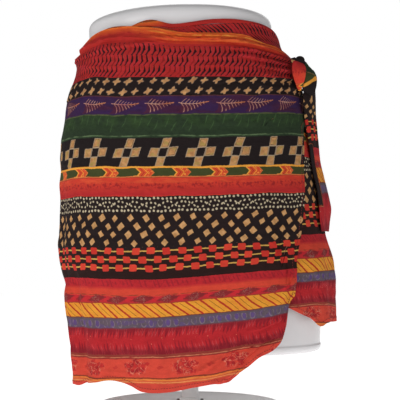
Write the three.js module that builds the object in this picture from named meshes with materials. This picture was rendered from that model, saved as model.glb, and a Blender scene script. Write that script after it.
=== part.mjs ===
// A wrap skirt of printed cloth on a hip form with a pole and a round base plate.
//
// Millimetres, +Z up. The origin is the centre of the base plate's underside, the front faces -Y and the
// wearer's left is +X. Wrap angles run round the body in degrees: 0 is the middle of the front, 90 the +X side,
// 180 the back and 270 the -X side, and past 360 the cloth lies on itself. Each piece of cloth is a wall of one
// thickness about a middle surface that is worked out from horizontal sections.

import * as THREE from "three";

// ---------------------------------------------------------------- driving dimensions

const CLOTH_WALL = 1.4; // also the least room that a layer needs
const SEAM_GAP = 0.3; // between two pieces that touch
const LAYER_STEP = 3.6; // from the inner front's middle surface to the outer front's

const INNER_END = -30; // wrap angle of the cloth's inner end
const RIGHT_SEAM = 90; // where the inner front becomes the back
const LEFT_SEAM = 270; // where the back becomes the outer front

const SECTION_POWER = 2.25; // 2 would make the horizontal sections ellipses

const FORM_BOTTOM = 78; // lower face of the hip form
const FORM_SHOULDER = 490; // where its upper edge starts to round over
const FORM_DOME = 26; // height of its rounded top above that
const FORM_EDGE_RADIUS = 7; // of its lower edge
const DOME_POWER = { left: 2.4, right: 3.4, front: 4, back: 4 }; // how square the dome's shoulders are

const BASE_RADIUS = 120;
const BASE_THICKNESS = 8;
const BASE_BEVEL = 2.5;
const POLE_RADIUS = 11;
const STAND_GAP = 0.3; // pole to base plate and to hip form

// ---------------------------------------------------------------- tables

// A table of rows with named columns; the first column is the one that it is looked up by.
function table(columns, rows) {
  const sorted = [...rows].sort((a, b) => a[0] - b[0]);
  return Object.fromEntries(
    columns.map((name, i) => [name, sorted.map((row) => row[i])]),
  );
}

// Half extents of the hip form at each height, from the z axis.
const FORM_SECTIONS = table(
  ["height", "left", "right", "front", "back"],
  [
    [490, 130.5, 105.5, 85, 88],
    [473, 130.5, 110.5, 88.5, 91],
    [454, 135, 117.5, 93, 98],
    [432, 141, 126.5, 98, 103],
    [402, 150, 137.5, 104, 110],
    [370, 156.5, 147, 108, 115],
    [337, 161, 153.5, 111, 118],
    [298, 161, 159, 113, 119.5],
    [272, 159.5, 162.5, 114, 119],
    [233, 160.5, 166, 113.5, 117],
    [194, 158, 168.5, 111, 113.5],
    [142, 151.5, 169.5, 106, 108],
    [110, 147, 169, 103, 104],
    [78, 143, 168.5, 101, 102],
  ],
);

// The same for the middle surface of a single layer of cloth.
const CLOTH_SECTIONS = table(
  ["height", "left", "right", "front", "back"],
  [
    [505, 134, 108, 88, 92],
    [473, 140, 115, 93, 95],
    [460, 145.5, 120.5, 97, 99],
    [432, 146.5, 131, 103, 106],
    [402, 157, 141.5, 108.5, 113.5],
    [370, 161.5, 150.5, 112.5, 118.5],
    [337, 166.5, 157.5, 115, 121],
    [298, 165.5, 163, 117, 124],
    [272, 163.5, 167, 118, 124],
    [229, 165, 173.5, 118.5, 123.5],
    [213, 166.5, 177.5, 119, 122.5],
    [194, 164.5, 181.5, 119, 121.5],
    [174, 161, 184, 119, 120.5],
    [142, 157.5, 185.5, 118.5, 119],
    [116, 153, 186.5, 118, 117.5],
    [90, 149, 185, 117, 116],
    [64, 148, 184, 116, 115],
    [20, 146, 183, 115, 114],
  ],
);

// Upper edge of the cloth round the back, and of its outer front.
const UPPER_EDGE = table(
  ["wrap", "height"],
  [
    [90, 463],
    [112, 465],
    [135, 469],
    [180, 471],
    [225, 466],
    [255, 457],
    [270, 452],
    [286, 454.5],
    [290, 464],
    [295, 473],
    [303, 478.5],
    [314, 482.5],
    [327, 481.5],
    [349, 477],
    [361, 472.5],
    [380, 472],
    [398, 473],
    [407, 471.5],
    [413, 466.5],
    [418, 463.5],
    [426, 461.5],
    [434, 455.5],
    [442, 448],
  ],
);

// Hem of the cloth. It rises to the round-cut corner at either end.
const HEM = table(
  ["wrap", "height"],
  [
    [-30, 262],
    [-20, 228],
    [-5, 200],
    [15, 172],
    [33, 150],
    [47, 137.5],
    [53, 130],
    [59, 123],
    [64, 113],
    [68, 116.5],
    [80, 116],
    [90, 115],
    [104, 112],
    [120, 109],
    [138, 98],
    [156, 92],
    [175, 80],
    [192, 76],
    [210, 62],
    [226, 60],
    [242, 47],
    [256, 46],
    [270, 35],
    [284, 38],
    [286.5, 37.3],
    [289, 41],
    [295, 42.5],
    [302, 45],
    [308, 48.5],
    [313, 47.5],
    [320, 43],
    [327, 37],
    [340, 37.5],
    [354, 43.5],
    [367, 48],
    [374, 50],
    [380, 61],
    [385, 69],
    [390, 78.5],
    [396.5, 86],
    [400, 93],
    [402, 101],
    [403.5, 113],
    [405, 126],
    [406.5, 143],
    [409, 152],
  ],
);

// Free edge of the outer front, from the knot down to the round corner.
const FREE_EDGE = table(
  ["height", "wrap"],
  [
    [460, 441],
    [430, 439],
    [409, 438.5],
    [398, 443],
    [386, 443],
    [373, 438],
    [363, 430],
    [345, 427.5],
    [313, 424.5],
    [282, 422.5],
    [232, 417.5],
    [218, 415.5],
    [202, 413],
    [183, 411],
    [165, 410],
    [150, 409],
  ],
);

// How far the cloth stands off the single layer's surface as it climbs over its own inner end.
const OUTER_STEP = table(
  ["wrap", "step"],
  [
    [270, 0],
    [296, 0.3],
    [322, 1],
    [445, 1],
  ],
);

// Soft ridges (rise > 0) and troughs (rise < 0): each runs from its upper end to its lower end, spread is its half
// width in degrees and fade how far it dies away past either end, in millimetres.
const FOLD_COLUMNS = [
  "topWrap",
  "topHeight",
  "lowWrap",
  "lowHeight",
  "spread",
  "rise",
  "fade",
];
const FOLDS = [
  // left side of the outer front: long upright folds
  [273, 285, 276, 185, 3.2, 3.2, 25],
  [281, 290, 284, 170, 3.0, -2.0, 25],
  [285, 150, 283, 40, 3.0, 5.5, 30],
  [291, 160, 290, 30, 2.8, -5.0, 35],
  [299, 130, 303, 30, 4.0, 3.5, 30],
  [312, 105, 316, 30, 5.0, -3.0, 25],
  [330, 95, 333, 30, 6.5, 3.2, 25],
  // lower corner of the outer front, drawn up towards the knot
  [377, 100, 362, 62, 3.5, 3.0, 18],
  [386, 118, 372, 78, 3.5, -2.2, 18],
  [404, 165, 395, 130, 3.0, 3.0, 14],
  [408, 180, 402, 150, 2.2, 2.6, 12],
  // pull of the knot across the upper right of the outer front
  [434, 446, 404, 452, 3.5, 1.6, 10],
  [436, 436, 400, 418, 3.5, 1.8, 10],
  [437, 420, 410, 385, 3.5, 1.6, 12],
  // loose cloth on the left of the waist
  [286, 446, 292, 438, 7.0, 3.0, 12],
  // inner front, hanging free at the right
  [66, 190, 68, 110, 4.0, 3.0, 30],
  [76, 180, 77, 110, 4.0, -2.4, 30],
  [86, 190, 88, 110, 4.5, 2.4, 30],
  // back
  [104, 230, 108, 100, 5.5, -3.5, 45],
  [120, 260, 122, 100, 5.5, 4.5, 50],
  [139, 235, 136, 90, 6.0, -3.5, 45],
  [155, 215, 158, 80, 6.0, 5.0, 45],
  [176, 230, 174, 70, 6.5, -3.8, 45],
  [197, 205, 200, 60, 6.0, 4.6, 45],
  [219, 220, 216, 50, 6.0, -3.8, 45],
  [236, 200, 238, 45, 5.5, 4.6, 45],
  [254, 190, 256, 40, 5.0, -3.2, 45],
].map((row) => Object.fromEntries(FOLD_COLUMNS.map((name, i) => [name, row[i]])));

// Rolled upper edge of the inner front, thicker where its end comes out over the outer front.
const WAIST_ROLL = table(
  ["wrap", "height", "tall", "thick"],
  [
    [-36, 480.5, 3.5, 2.4],
    [-30, 483, 7, 3.6],
    [-24, 484.5, 9, 4.0],
    [-18, 484.3, 8.6, 4.0],
    [-13, 483.2, 6.4, 3.8],
    [-6, 481.4, 5.6, 3.4],
    [3, 482.6, 5.6, 3.4],
    [16, 485.6, 5.6, 3.4],
    [30, 488.4, 5.6, 3.4],
    [45, 489.6, 5.6, 3.4],
    [56, 488.4, 5.6, 3.4],
    [66, 486, 5.6, 3.4],
    [75, 482, 5.6, 3.4],
    [82, 476, 5.2, 3.2],
    [89, 469, 4.4, 3],
  ],
);

// The long end of the tie: its two edges at each height, and how far its middle bulges out between them.
const TIE_TAIL = table(
  ["height", "frontX", "frontY", "backX", "backY", "bulge"],
  [
    [411, 144.5, -45, 160, -25, 2.5],
    [402, 142.5, -49.5, 160.5, -22, 3.4],
    [390, 142.5, -51.5, 161, -17, 4],
    [375, 144, -52, 162, -9, 4.5],
    [349, 148, -51.5, 166, 0, 4],
    [320, 152.5, -49.5, 169, 6, 4],
    [300, 156, -49.5, 174, 8, 4.5],
    [284, 159.5, -50, 178, 8, 5],
    [263, 162, -50.5, 183, 8, 4.5],
    [245, 163.5, -50.5, 182, 8, 3.5],
    [231, 166, -49, 180, 9, 3],
  ],
);

// Straps of the knot. Each row is one section: its place, width and thickness, and the direction that its
// broad side faces, as an angle round the body.
const STRAP_COLUMNS = ["x", "y", "z", "width", "thick", "facing"];
const STRAPS = {
  knot_core: [
    [137.5, -43, 437, 7, 5, 20],
    [138.6, -45.5, 433, 9, 7.5, 22],
    [140, -46.5, 427, 9, 8.5, 28],
    [142, -46.5, 420, 8, 7.5, 32],
    [144, -45, 413, 6, 5, 35],
  ],
  knot_loop: [
    [137, -52.5, 440.5, 11, 3.2, 12],
    [136.6, -56.5, 438, 15.5, 4.6, 10],
    [136.4, -59.5, 431, 17.5, 6.4, 8],
    [136.8, -60, 422, 14.5, 6.4, 8],
    [137.3, -57.5, 413.5, 8.5, 5, 12],
    [137.8, -54.5, 407.5, 4, 2.8, 14],
  ],
  knot_back: [
    [149.5, -49, 409.5, 9, 3.2, 35],
    [153, -48, 416, 18, 4.6, 42],
    [154, -45, 425, 20.5, 5.2, 43],
    [152.6, -41, 433, 19, 5.2, 41],
    [150.8, -36, 438, 15.5, 4.6, 36],
    [149, -30, 440, 11, 3.4, 34],
  ],
  knot_wrap: [
    [139.5, -53.5, 443.6, 9, 2.2, 0],
    [139.8, -49.5, 444.8, 11, 3.2, 0],
    [140.2, -43, 445.4, 11.5, 3.6, 0],
    [140.8, -36, 444.8, 11, 3.4, 0],
    [141.4, -30, 443, 9, 2.6, 0],
  ],
  knot_stub: [
    [132.6, -47, 443, 5.0, 2.6, 20],
    [131, -48.5, 445.8, 6.6, 4.2, 15],
    [130, -49.5, 449, 5.6, 3.6, 10],
  ],
};

// ---------------------------------------------------------------- curves and sections

const radians = THREE.MathUtils.degToRad;
const lerp = THREE.MathUtils.lerp;

// Value of one column where the table's first column equals at, along a smooth curve through its rows.
function along(rows, at, column) {
  const keys = Object.values(rows)[0];
  const values = rows[column];
  const last = keys.length - 1;
  if (at <= keys[0]) return values[0];
  if (at >= keys[last]) return values[last];
  let i = 0;
  while (keys[i + 1] < at) i += 1;
  const slope = (a, b) => (values[b] - values[a]) / (keys[b] - keys[a]);
  const span = keys[i + 1] - keys[i];
  const leave = slope(Math.max(i - 1, 0), i + 1) * span;
  const arrive = slope(i, Math.min(i + 2, last)) * span;
  const t = (at - keys[i]) / span;
  return (
    (2 * t ** 3 - 3 * t ** 2 + 1) * values[i] +
    (t ** 3 - 2 * t ** 2 + t) * leave +
    (3 * t ** 2 - 2 * t ** 3) * values[i + 1] +
    (t ** 3 - t ** 2) * arrive
  );
}

// How far a body reaches to each side at one height.
function extentsAt(sections, height) {
  const sides = ["left", "right", "front", "back"];
  return Object.fromEntries(sides.map((side) => [side, along(sections, height, side)]));
}

// A point on a horizontal section, standing off it by offset along the ray from the section's centre.
function sectionPoint({ left, right, front, back }, wrap, height, offset = 0) {
  const across = Math.sin(radians(wrap));
  const forward = Math.cos(radians(wrap));
  const halfWidth = (left + right) / 2;
  const halfDepth = forward > 0 ? front : back;
  const reach =
    (Math.abs(across / halfWidth) ** SECTION_POWER +
      Math.abs(forward / halfDepth) ** SECTION_POWER) **
      (-1 / SECTION_POWER) +
    offset;
  return new THREE.Vector3((right - left) / 2 + reach * across, -reach * forward, height);
}

// One soft bump, 1 in the middle and 0 from one spread away.
function bell(distance, spread) {
  const t = Math.min(Math.abs(distance) / spread, 1);
  return (1 - t * t) ** 2;
}

function foldRise(wrap, height) {
  let rise = 0;
  for (const fold of FOLDS) {
    const run = (fold.topHeight - height) / (fold.topHeight - fold.lowHeight);
    const middle = lerp(fold.topWrap, fold.lowWrap, run);
    const beyond = Math.max(height - fold.topHeight, fold.lowHeight - height, 0);
    rise += fold.rise * bell(wrap - middle, 2 * fold.spread) * bell(beyond, fold.fade);
  }
  return rise;
}

// The knot holds the outer front's upper corner off the body, less and less away from where it is tied.
const KNOT_AT = { wrap: 446, height: 432 };
const KNOT_PULL = { out: 7, degrees: 26, tall: 46 };
function knotPull(wrap, height) {
  const round = bell(Math.min(wrap - KNOT_AT.wrap, 0), KNOT_PULL.degrees);
  return KNOT_PULL.out * round * bell(height - KNOT_AT.height, KNOT_PULL.tall);
}

function clothPoint(wrap, height) {
  const isOuter = wrap > LEFT_SEAM;
  const layer = isOuter ? LAYER_STEP * along(OUTER_STEP, wrap, "step") + knotPull(wrap, height) : 0;
  return sectionPoint(extentsAt(CLOTH_SECTIONS, height), wrap, height, layer + foldRise(wrap, height));
}

// ---------------------------------------------------------------- closed meshes

function closedMesh(name, points, triangles, material) {
  const geometry = new THREE.BufferGeometry();
  geometry.setAttribute("position", new THREE.Float32BufferAttribute(points.flatMap((p) => p.toArray()), 3));
  geometry.setIndex(triangles.flat());
  geometry.computeVertexNormals();
  const mesh = new THREE.Mesh(geometry, material);
  mesh.name = name;
  return mesh;
}

// A wall of even thickness about a grid of points; rows run down and columns run towards rising wrap angle.
function wallMesh(name, grid, thickness, material) {
  const rows = grid.length;
  const columns = grid[0].length;
  const at = (row, column) =>
    grid[THREE.MathUtils.clamp(row, 0, rows - 1)][THREE.MathUtils.clamp(column, 0, columns - 1)];
  const outer = [];
  const inner = [];
  for (let row = 0; row < rows; row += 1) {
    for (let column = 0; column < columns; column += 1) {
      const down = at(row + 1, column).clone().sub(at(row - 1, column));
      const round = at(row, column + 1).clone().sub(at(row, column - 1));
      const out = down.cross(round).normalize();
      outer.push(at(row, column).clone().addScaledVector(out, thickness / 2));
      inner.push(at(row, column).clone().addScaledVector(out, -thickness / 2));
    }
  }
  const outside = (row, column) => row * columns + column;
  const inside = (row, column) => rows * columns + row * columns + column;
  const triangles = [];
  const quad = (a, b, c, d) => triangles.push([a, b, c], [a, c, d]);
  for (let row = 0; row < rows - 1; row += 1) {
    for (let column = 0; column < columns - 1; column += 1) {
      quad(
        outside(row, column),
        outside(row + 1, column),
        outside(row + 1, column + 1),
        outside(row, column + 1),
      );
      quad(
        inside(row, column),
        inside(row, column + 1),
        inside(row + 1, column + 1),
        inside(row + 1, column),
      );
    }
  }
  for (let row = 0; row < rows - 1; row += 1) {
    quad(outside(row, 0), inside(row, 0), inside(row + 1, 0), outside(row + 1, 0));
    const last = columns - 1;
    quad(outside(row, last), outside(row + 1, last), inside(row + 1, last), inside(row, last));
  }
  for (let column = 0; column < columns - 1; column += 1) {
    quad(outside(0, column), outside(0, column + 1), inside(0, column + 1), inside(0, column));
    const last = rows - 1;
    quad(outside(last, column), inside(last, column), inside(last, column + 1), outside(last, column + 1));
  }
  return closedMesh(name, [...outer, ...inner], triangles, material);
}

// A solid through closed rings of equal length, each end closed by a fan to its own centre. The rings run
// anticlockwise, seen from the last ring.
function ringsMesh(name, rings, material) {
  const count = rings[0].length;
  const centre = (ring) =>
    ring.reduce((sum, p) => sum.add(p), new THREE.Vector3()).divideScalar(count);
  const points = [...rings.flat(), centre(rings[0]), centre(rings.at(-1))];
  const start = points.length - 2;
  const end = points.length - 1;
  const triangles = [];
  for (let i = 0; i < count; i += 1) {
    const next = (i + 1) % count;
    for (let ring = 0; ring < rings.length - 1; ring += 1) {
      const a = ring * count + i;
      const b = ring * count + next;
      triangles.push([a, b, b + count], [a, b + count, a + count]);
    }
    triangles.push([start, next, i]);
    const top = (rings.length - 1) * count;
    triangles.push([end, top + i, top + next]);
  }
  return closedMesh(name, points, triangles, material);
}

// ---------------------------------------------------------------- cloth

// Grid of a stretch of cloth from one wrap angle to another, between its upper edge and the hem. A column's wrap
// angle and a row's height depend on each other, so both are closed in on from a first height.
const FIRST_HEIGHT = { top: 470, hem: 120 };
const PLACING_ROUNDS = 6;
function stretchGrid({ rows, columns, startWrap, endWrapAt, topAt }) {
  const grid = [];
  for (let row = 0; row <= rows; row += 1) {
    const line = [];
    for (let column = 0; column <= columns; column += 1) {
      const down = row / rows;
      let height = lerp(FIRST_HEIGHT.top, FIRST_HEIGHT.hem, down);
      let wrap = startWrap;
      for (let round = 0; round < PLACING_ROUNDS; round += 1) {
        wrap = lerp(startWrap, endWrapAt(height), spacing(column / columns));
        height = lerp(topAt(wrap), along(HEM, wrap, "height"), down);
      }
      line.push(clothPoint(wrap, height));
    }
    grid.push(line);
  }
  return grid;
}

// Columns lie a little closer together towards either end of a stretch.
const END_CROWDING = 0.45;
function spacing(share) {
  return share - (END_CROWDING / (2 * Math.PI)) * Math.sin(2 * Math.PI * share);
}

// Half a seam gap, as a wrap angle at the waist, where it is the narrowest.
const WAIST_RADIUS = 120;
const SEAM_ANGLE = THREE.MathUtils.radToDeg(SEAM_GAP / 2 / WAIST_RADIUS);

// The inner front ends just below its rolled edge.
const ROLL_GAP = 0.7;
const rollBottom = (wrap) =>
  along(WAIST_ROLL, wrap, "height") - along(WAIST_ROLL, wrap, "tall") / 2 - ROLL_GAP;

function frontPanel(material) {
  const grid = stretchGrid({
    rows: 24,
    columns: 40,
    startWrap: LEFT_SEAM + SEAM_ANGLE,
    endWrapAt: (height) => along(FREE_EDGE, height, "wrap"),
    topAt: (wrap) => along(UPPER_EDGE, wrap, "height"),
  });
  return wallMesh("front_panel", grid, CLOTH_WALL, material);
}

function backPanel(material) {
  const grid = stretchGrid({
    rows: 16,
    columns: 32,
    startWrap: RIGHT_SEAM + SEAM_ANGLE,
    endWrapAt: () => LEFT_SEAM - SEAM_ANGLE,
    topAt: (wrap) => along(UPPER_EDGE, wrap, "height"),
  });
  return wallMesh("back_panel", grid, CLOTH_WALL, material);
}

function underPanel(material) {
  const grid = stretchGrid({
    rows: 16,
    columns: 24,
    startWrap: INNER_END,
    endWrapAt: () => RIGHT_SEAM - SEAM_ANGLE,
    topAt: rollBottom,
  });
  return wallMesh("under_panel", grid, CLOTH_WALL, material);
}

// The rolled edge: an oval swept round the waist just above the inner front.
const ROLL_STEPS = 34;
const ROLL_SIDES = 8;
function waistRoll(material) {
  const first = WAIST_ROLL.wrap[0];
  const last = WAIST_ROLL.wrap.at(-1);
  const rings = [];
  for (let step = 0; step <= ROLL_STEPS; step += 1) {
    const wrap = lerp(first, last, step / ROLL_STEPS);
    const height = along(WAIST_ROLL, wrap, "height");
    const ring = [];
    for (let side = 0; side < ROLL_SIDES; side += 1) {
      const turn = (-2 * Math.PI * side) / ROLL_SIDES;
      const rise = (along(WAIST_ROLL, wrap, "tall") / 2) * Math.sin(turn);
      const offset = (along(WAIST_ROLL, wrap, "thick") / 2) * Math.cos(turn);
      const point = sectionPoint(extentsAt(CLOTH_SECTIONS, height), wrap, height + rise, offset);
      ring.push(point);
    }
    rings.push(ring);
  }
  return ringsMesh("waist_roll", rings, material);
}

// ---------------------------------------------------------------- tie

const TAIL_ROWS = 16;
const TAIL_COLUMNS = 6;
const TAIL_WALL = 2;
function tieTail(material) {
  const grid = [];
  const lowest = TIE_TAIL.height[0];
  const highest = TIE_TAIL.height.at(-1);
  for (let row = 0; row <= TAIL_ROWS; row += 1) {
    const height = lerp(highest, lowest, row / TAIL_ROWS);
    const value = (column) => along(TIE_TAIL, height, column);
    const front = new THREE.Vector3(value("frontX"), value("frontY"), height);
    const back = new THREE.Vector3(value("backX"), value("backY"), height);
    const out = new THREE.Vector3(back.y - front.y, front.x - back.x, 0).normalize();
    const line = [];
    for (let column = 0; column <= TAIL_COLUMNS; column += 1) {
      const share = column / TAIL_COLUMNS;
      const point = front.clone().lerp(back, share);
      line.push(point.addScaledVector(out, value("bulge") * Math.sin(Math.PI * share)));
    }
    grid.push(line);
  }
  return wallMesh("tie_tail", grid, TAIL_WALL, material);
}

// A strap of the knot: rounded oblong sections along a smooth path.
const STRAP_STEPS = 10;
const STRAP_SIDES = 10;
const STRAP_POWER = 0.7; // below 1 the sections are squarer than ovals
const STRAP_NEAR = 0.05; // share of a row over which a strap's direction is taken
const STRAP_LIFT = 0.001; // lets a strap that runs straight back face up
function strapMesh(name, rows, material) {
  const stations = table(
    ["station", ...STRAP_COLUMNS],
    rows.map((row, i) => [i, ...row]),
  );
  const place = (station) =>
    new THREE.Vector3(...["x", "y", "z"].map((key) => along(stations, station, key)));
  const rings = [];
  for (let step = 0; step <= STRAP_STEPS; step += 1) {
    const station = ((rows.length - 1) * step) / STRAP_STEPS;
    const ahead = place(Math.min(station + STRAP_NEAR, rows.length - 1));
    const behind = place(Math.max(station - STRAP_NEAR, 0));
    const run = ahead.sub(behind).normalize();
    const facing = radians(along(stations, station, "facing"));
    const face = new THREE.Vector3(Math.sin(facing), -Math.cos(facing), STRAP_LIFT);
    face.addScaledVector(run, -face.dot(run)).normalize();
    const side = run.clone().cross(face);
    const ring = [];
    for (let i = 0; i < STRAP_SIDES; i += 1) {
      const turn = (2 * Math.PI * i) / STRAP_SIDES;
      const soft = (value) => Math.sign(value) * Math.abs(value) ** STRAP_POWER;
      ring.push(
        place(station)
          .addScaledVector(face, (soft(Math.cos(turn)) * along(stations, station, "thick")) / 2)
          .addScaledVector(side, (soft(Math.sin(turn)) * along(stations, station, "width")) / 2),
      );
    }
    rings.push(ring);
  }
  return ringsMesh(name, rings, material);
}

// ---------------------------------------------------------------- form and stand

const FORM_SIDES = 44;
const FORM_ROWS = 15;
const FORM_EDGE_ROWS = 3;
const FORM_DOME_ROWS = 7;
const DOME_TURN = 86; // just short of 90, so the dome ends in a small flat top
function formRing(extents, height, inset = 0) {
  const ring = [];
  for (let i = 0; i < FORM_SIDES; i += 1) {
    ring.push(sectionPoint(extents, (360 * i) / FORM_SIDES, height, -inset));
  }
  return ring;
}

function formBody(material) {
  const rings = [];
  for (let i = 0; i < FORM_EDGE_ROWS; i += 1) {
    const turn = radians((90 * i) / FORM_EDGE_ROWS);
    const inset = FORM_EDGE_RADIUS * (1 - Math.sin(turn));
    const height = FORM_BOTTOM + FORM_EDGE_RADIUS * (1 - Math.cos(turn));
    rings.push(formRing(extentsAt(FORM_SECTIONS, height), height, inset));
  }
  for (let i = 0; i <= FORM_ROWS; i += 1) {
    const height = lerp(FORM_BOTTOM + FORM_EDGE_RADIUS, FORM_SHOULDER, i / FORM_ROWS);
    rings.push(formRing(extentsAt(FORM_SECTIONS, height), height));
  }
  const shoulder = extentsAt(FORM_SECTIONS, FORM_SHOULDER);
  for (let i = 1; i <= FORM_DOME_ROWS; i += 1) {
    const rise = Math.sin(radians((DOME_TURN * i) / FORM_DOME_ROWS));
    const scaled = Object.entries(shoulder).map(([side, reach]) => {
      const power = DOME_POWER[side];
      return [side, reach * (1 - rise ** power) ** (1 / power)];
    });
    rings.push(formRing(Object.fromEntries(scaled), FORM_SHOULDER + FORM_DOME * rise));
  }
  return ringsMesh("form_body", rings, material);
}

const ROUND_SIDES = 48;
function latheMesh(name, profile, material) {
  const outline = profile.map(([radius, height]) => new THREE.Vector2(radius, height));
  const mesh = new THREE.Mesh(new THREE.LatheGeometry(outline, ROUND_SIDES), material);
  mesh.rotation.x = Math.PI / 2;
  mesh.name = name;
  return mesh;
}

function standBase(material) {
  const profile = [
    [0, 0],
    [BASE_RADIUS, 0],
    [BASE_RADIUS, BASE_THICKNESS - BASE_BEVEL],
    [BASE_RADIUS - BASE_BEVEL, BASE_THICKNESS],
    [0, BASE_THICKNESS],
  ];
  return latheMesh("stand_base", profile, material);
}

function standPole(material) {
  const bottom = BASE_THICKNESS + STAND_GAP;
  const top = FORM_BOTTOM - STAND_GAP;
  const profile = [
    [0, bottom],
    [POLE_RADIUS, bottom],
    [POLE_RADIUS, top],
    [0, top],
  ];
  return latheMesh("stand_pole", profile, material);
}

// ---------------------------------------------------------------- the part

const clothMaterial = new THREE.MeshStandardMaterial({ color: 0xa63a2c, roughness: 0.85, metalness: 0 });
const tieMaterial = new THREE.MeshStandardMaterial({ color: 0x3a2a26, roughness: 0.85, metalness: 0 });
const formMaterial = new THREE.MeshStandardMaterial({ color: 0xd9d6d6, roughness: 0.25, metalness: 0 });
const standMaterial = new THREE.MeshStandardMaterial({ color: 0xe4e2e0, roughness: 0.4, metalness: 0.1 });

const skirt = new THREE.Group();
skirt.add(frontPanel(clothMaterial));
skirt.add(backPanel(clothMaterial));
skirt.add(underPanel(clothMaterial));
skirt.add(waistRoll(clothMaterial));
skirt.add(tieTail(tieMaterial));
for (const [name, rows] of Object.entries(STRAPS)) {
  skirt.add(strapMesh(name, rows, tieMaterial));
}

const stand = new THREE.Group();
stand.add(formBody(formMaterial));
stand.add(standPole(standMaterial));
stand.add(standBase(standMaterial));

const part = new THREE.Group();
part.add(skirt, stand);

export default part;
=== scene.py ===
"""A wrap skirt of banded printed cloth, tied at one side, on a glossy hip form and its stand.

Sizes are in millimetres and degrees until a mesh is made, which is in metres. Wrap angles run round the body:
0 is the middle of the front, 90 the +X side, 180 the back and 270 the -X side, and past 360 the cloth lies on
itself. A place on the cloth is (s, t): s runs along it from the middle of its outer front, and t runs down it
from the waist edge.
"""

from __future__ import annotations

import logging
import math
from collections.abc import Callable, Sequence
from dataclasses import dataclass
from enum import Enum
from functools import cached_property

import bpy
import numpy as np
from bpy.types import Material, Node, NodeSocket, NodeTree, Object
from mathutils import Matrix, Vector

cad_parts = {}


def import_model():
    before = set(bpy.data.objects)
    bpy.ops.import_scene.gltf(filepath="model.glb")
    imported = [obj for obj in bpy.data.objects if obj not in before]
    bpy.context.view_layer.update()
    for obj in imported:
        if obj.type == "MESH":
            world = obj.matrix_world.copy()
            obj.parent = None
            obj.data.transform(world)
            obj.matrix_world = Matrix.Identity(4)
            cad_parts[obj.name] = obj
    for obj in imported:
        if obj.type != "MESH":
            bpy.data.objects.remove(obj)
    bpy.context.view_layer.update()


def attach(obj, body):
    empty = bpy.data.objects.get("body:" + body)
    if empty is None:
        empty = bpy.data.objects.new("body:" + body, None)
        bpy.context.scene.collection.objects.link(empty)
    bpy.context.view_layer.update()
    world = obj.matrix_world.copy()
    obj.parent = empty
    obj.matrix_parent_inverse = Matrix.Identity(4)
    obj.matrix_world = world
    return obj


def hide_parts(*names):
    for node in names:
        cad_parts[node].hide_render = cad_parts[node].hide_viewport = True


log = logging.getLogger("wrap_skirt")

MM = 0.001
CLOTH_UV = "ClothPlace"
BODY = "root"

Colour = tuple[float, float, float]  # sRGB, each from 0 to 255
Faces = list[list[int]]
Part = tuple[np.ndarray, Faces]  # points and faces of a closed piece
Profile = Sequence[tuple[float, float]]  # pairs of radius and height


# ---------------------------------------------------------------- curves and tables


def smooth_along(keys: np.ndarray, pick: Callable[[np.ndarray], np.ndarray], at: np.ndarray) -> np.ndarray:
    """Read a smooth curve through values that are known at some keys.

    Args:
        keys: Rising keys of the known values.
        pick: Gives the known values for an array of key numbers.
        at: Where to read the curve; beyond the ends it stays level.

    Returns:
        The curve's values.
    """
    last = len(keys) - 1
    at = np.clip(at, keys[0], keys[-1])
    i = np.clip(np.searchsorted(keys, at, side="right") - 1, 0, last - 1)
    low, high = np.maximum(i - 1, 0), np.minimum(i + 2, last)
    span = keys[i + 1] - keys[i]
    leave = (pick(i + 1) - pick(low)) / (keys[i + 1] - keys[low]) * span
    arrive = (pick(high) - pick(i)) / (keys[high] - keys[i]) * span
    t = (at - keys[i]) / span
    return (
        (2 * t**3 - 3 * t**2 + 1) * pick(i)
        + (t**3 - 2 * t**2 + t) * leave
        + (3 * t**2 - 2 * t**3) * pick(i + 1)
        + (t**3 - t**2) * arrive
    )


@dataclass(frozen=True)
class Table:
    """Rows with named columns. The first column is the key that the others are read by."""

    columns: tuple[str, ...]
    rows: tuple[tuple[float, ...], ...]

    @cached_property
    def values(self) -> np.ndarray:
        """The rows in rising order of their keys."""
        return np.array(sorted(self.rows), dtype=float)

    @property
    def keys(self) -> np.ndarray:
        """The first column."""
        return self.values[:, 0]

    def at(self, key: np.ndarray | float, column: str) -> np.ndarray:
        """Read one column along a smooth curve.

        Args:
            key: Where to read it.
            column: The column's name.

        Returns:
            The column's values there.
        """
        values = self.values[:, self.columns.index(column)]
        return smooth_along(self.keys, lambda i: values[i], np.asarray(key, dtype=float))


def bell(distance: np.ndarray, spread: np.ndarray | float) -> np.ndarray:
    """One soft bump, 1 in the middle and 0 from one spread away."""
    t = np.minimum(np.abs(distance) / spread, 1.0)
    return (1 - t * t) ** 2


def ease(value: np.ndarray, start: float, end: float) -> np.ndarray:
    """Rise softly from 0 at start to 1 at end."""
    t = np.clip((value - start) / (end - start), 0.0, 1.0)
    return t * t * (3 - 2 * t)


class Unevenness:
    """Soft seeded unevenness over a plane, from about -1 to 1."""

    GRID = 64

    def __init__(self, seed: int, cell: tuple[float, float]) -> None:
        """Draw the values at the corners of the cells.

        Args:
            seed: Seed of the random draw.
            cell: Width and height of one cell.
        """
        self.cell = cell
        self.corners = np.random.default_rng(seed).uniform(-1, 1, (self.GRID, self.GRID))

    def at(self, x: np.ndarray, y: np.ndarray) -> np.ndarray:
        """Read the unevenness.

        Args:
            x: Places along the cells' width.
            y: Places along the cells' height.

        Returns:
            The values there.
        """
        column, row = x / self.cell[0], y / self.cell[1]
        i, j = np.floor(column).astype(int), np.floor(row).astype(int)
        u, v = ease(column - i, 0, 1), ease(row - j, 0, 1)

        def corner(right: int, down: int) -> np.ndarray:
            """Drawn value at one corner of each place's cell."""
            return self.corners[(i + right) % self.GRID, (j + down) % self.GRID]

        upper = corner(0, 0) * (1 - u) + corner(1, 0) * u
        lower = corner(0, 1) * (1 - u) + corner(1, 1) * u
        return upper * (1 - v) + lower * v


# ---------------------------------------------------------------- shared sizes

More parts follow.
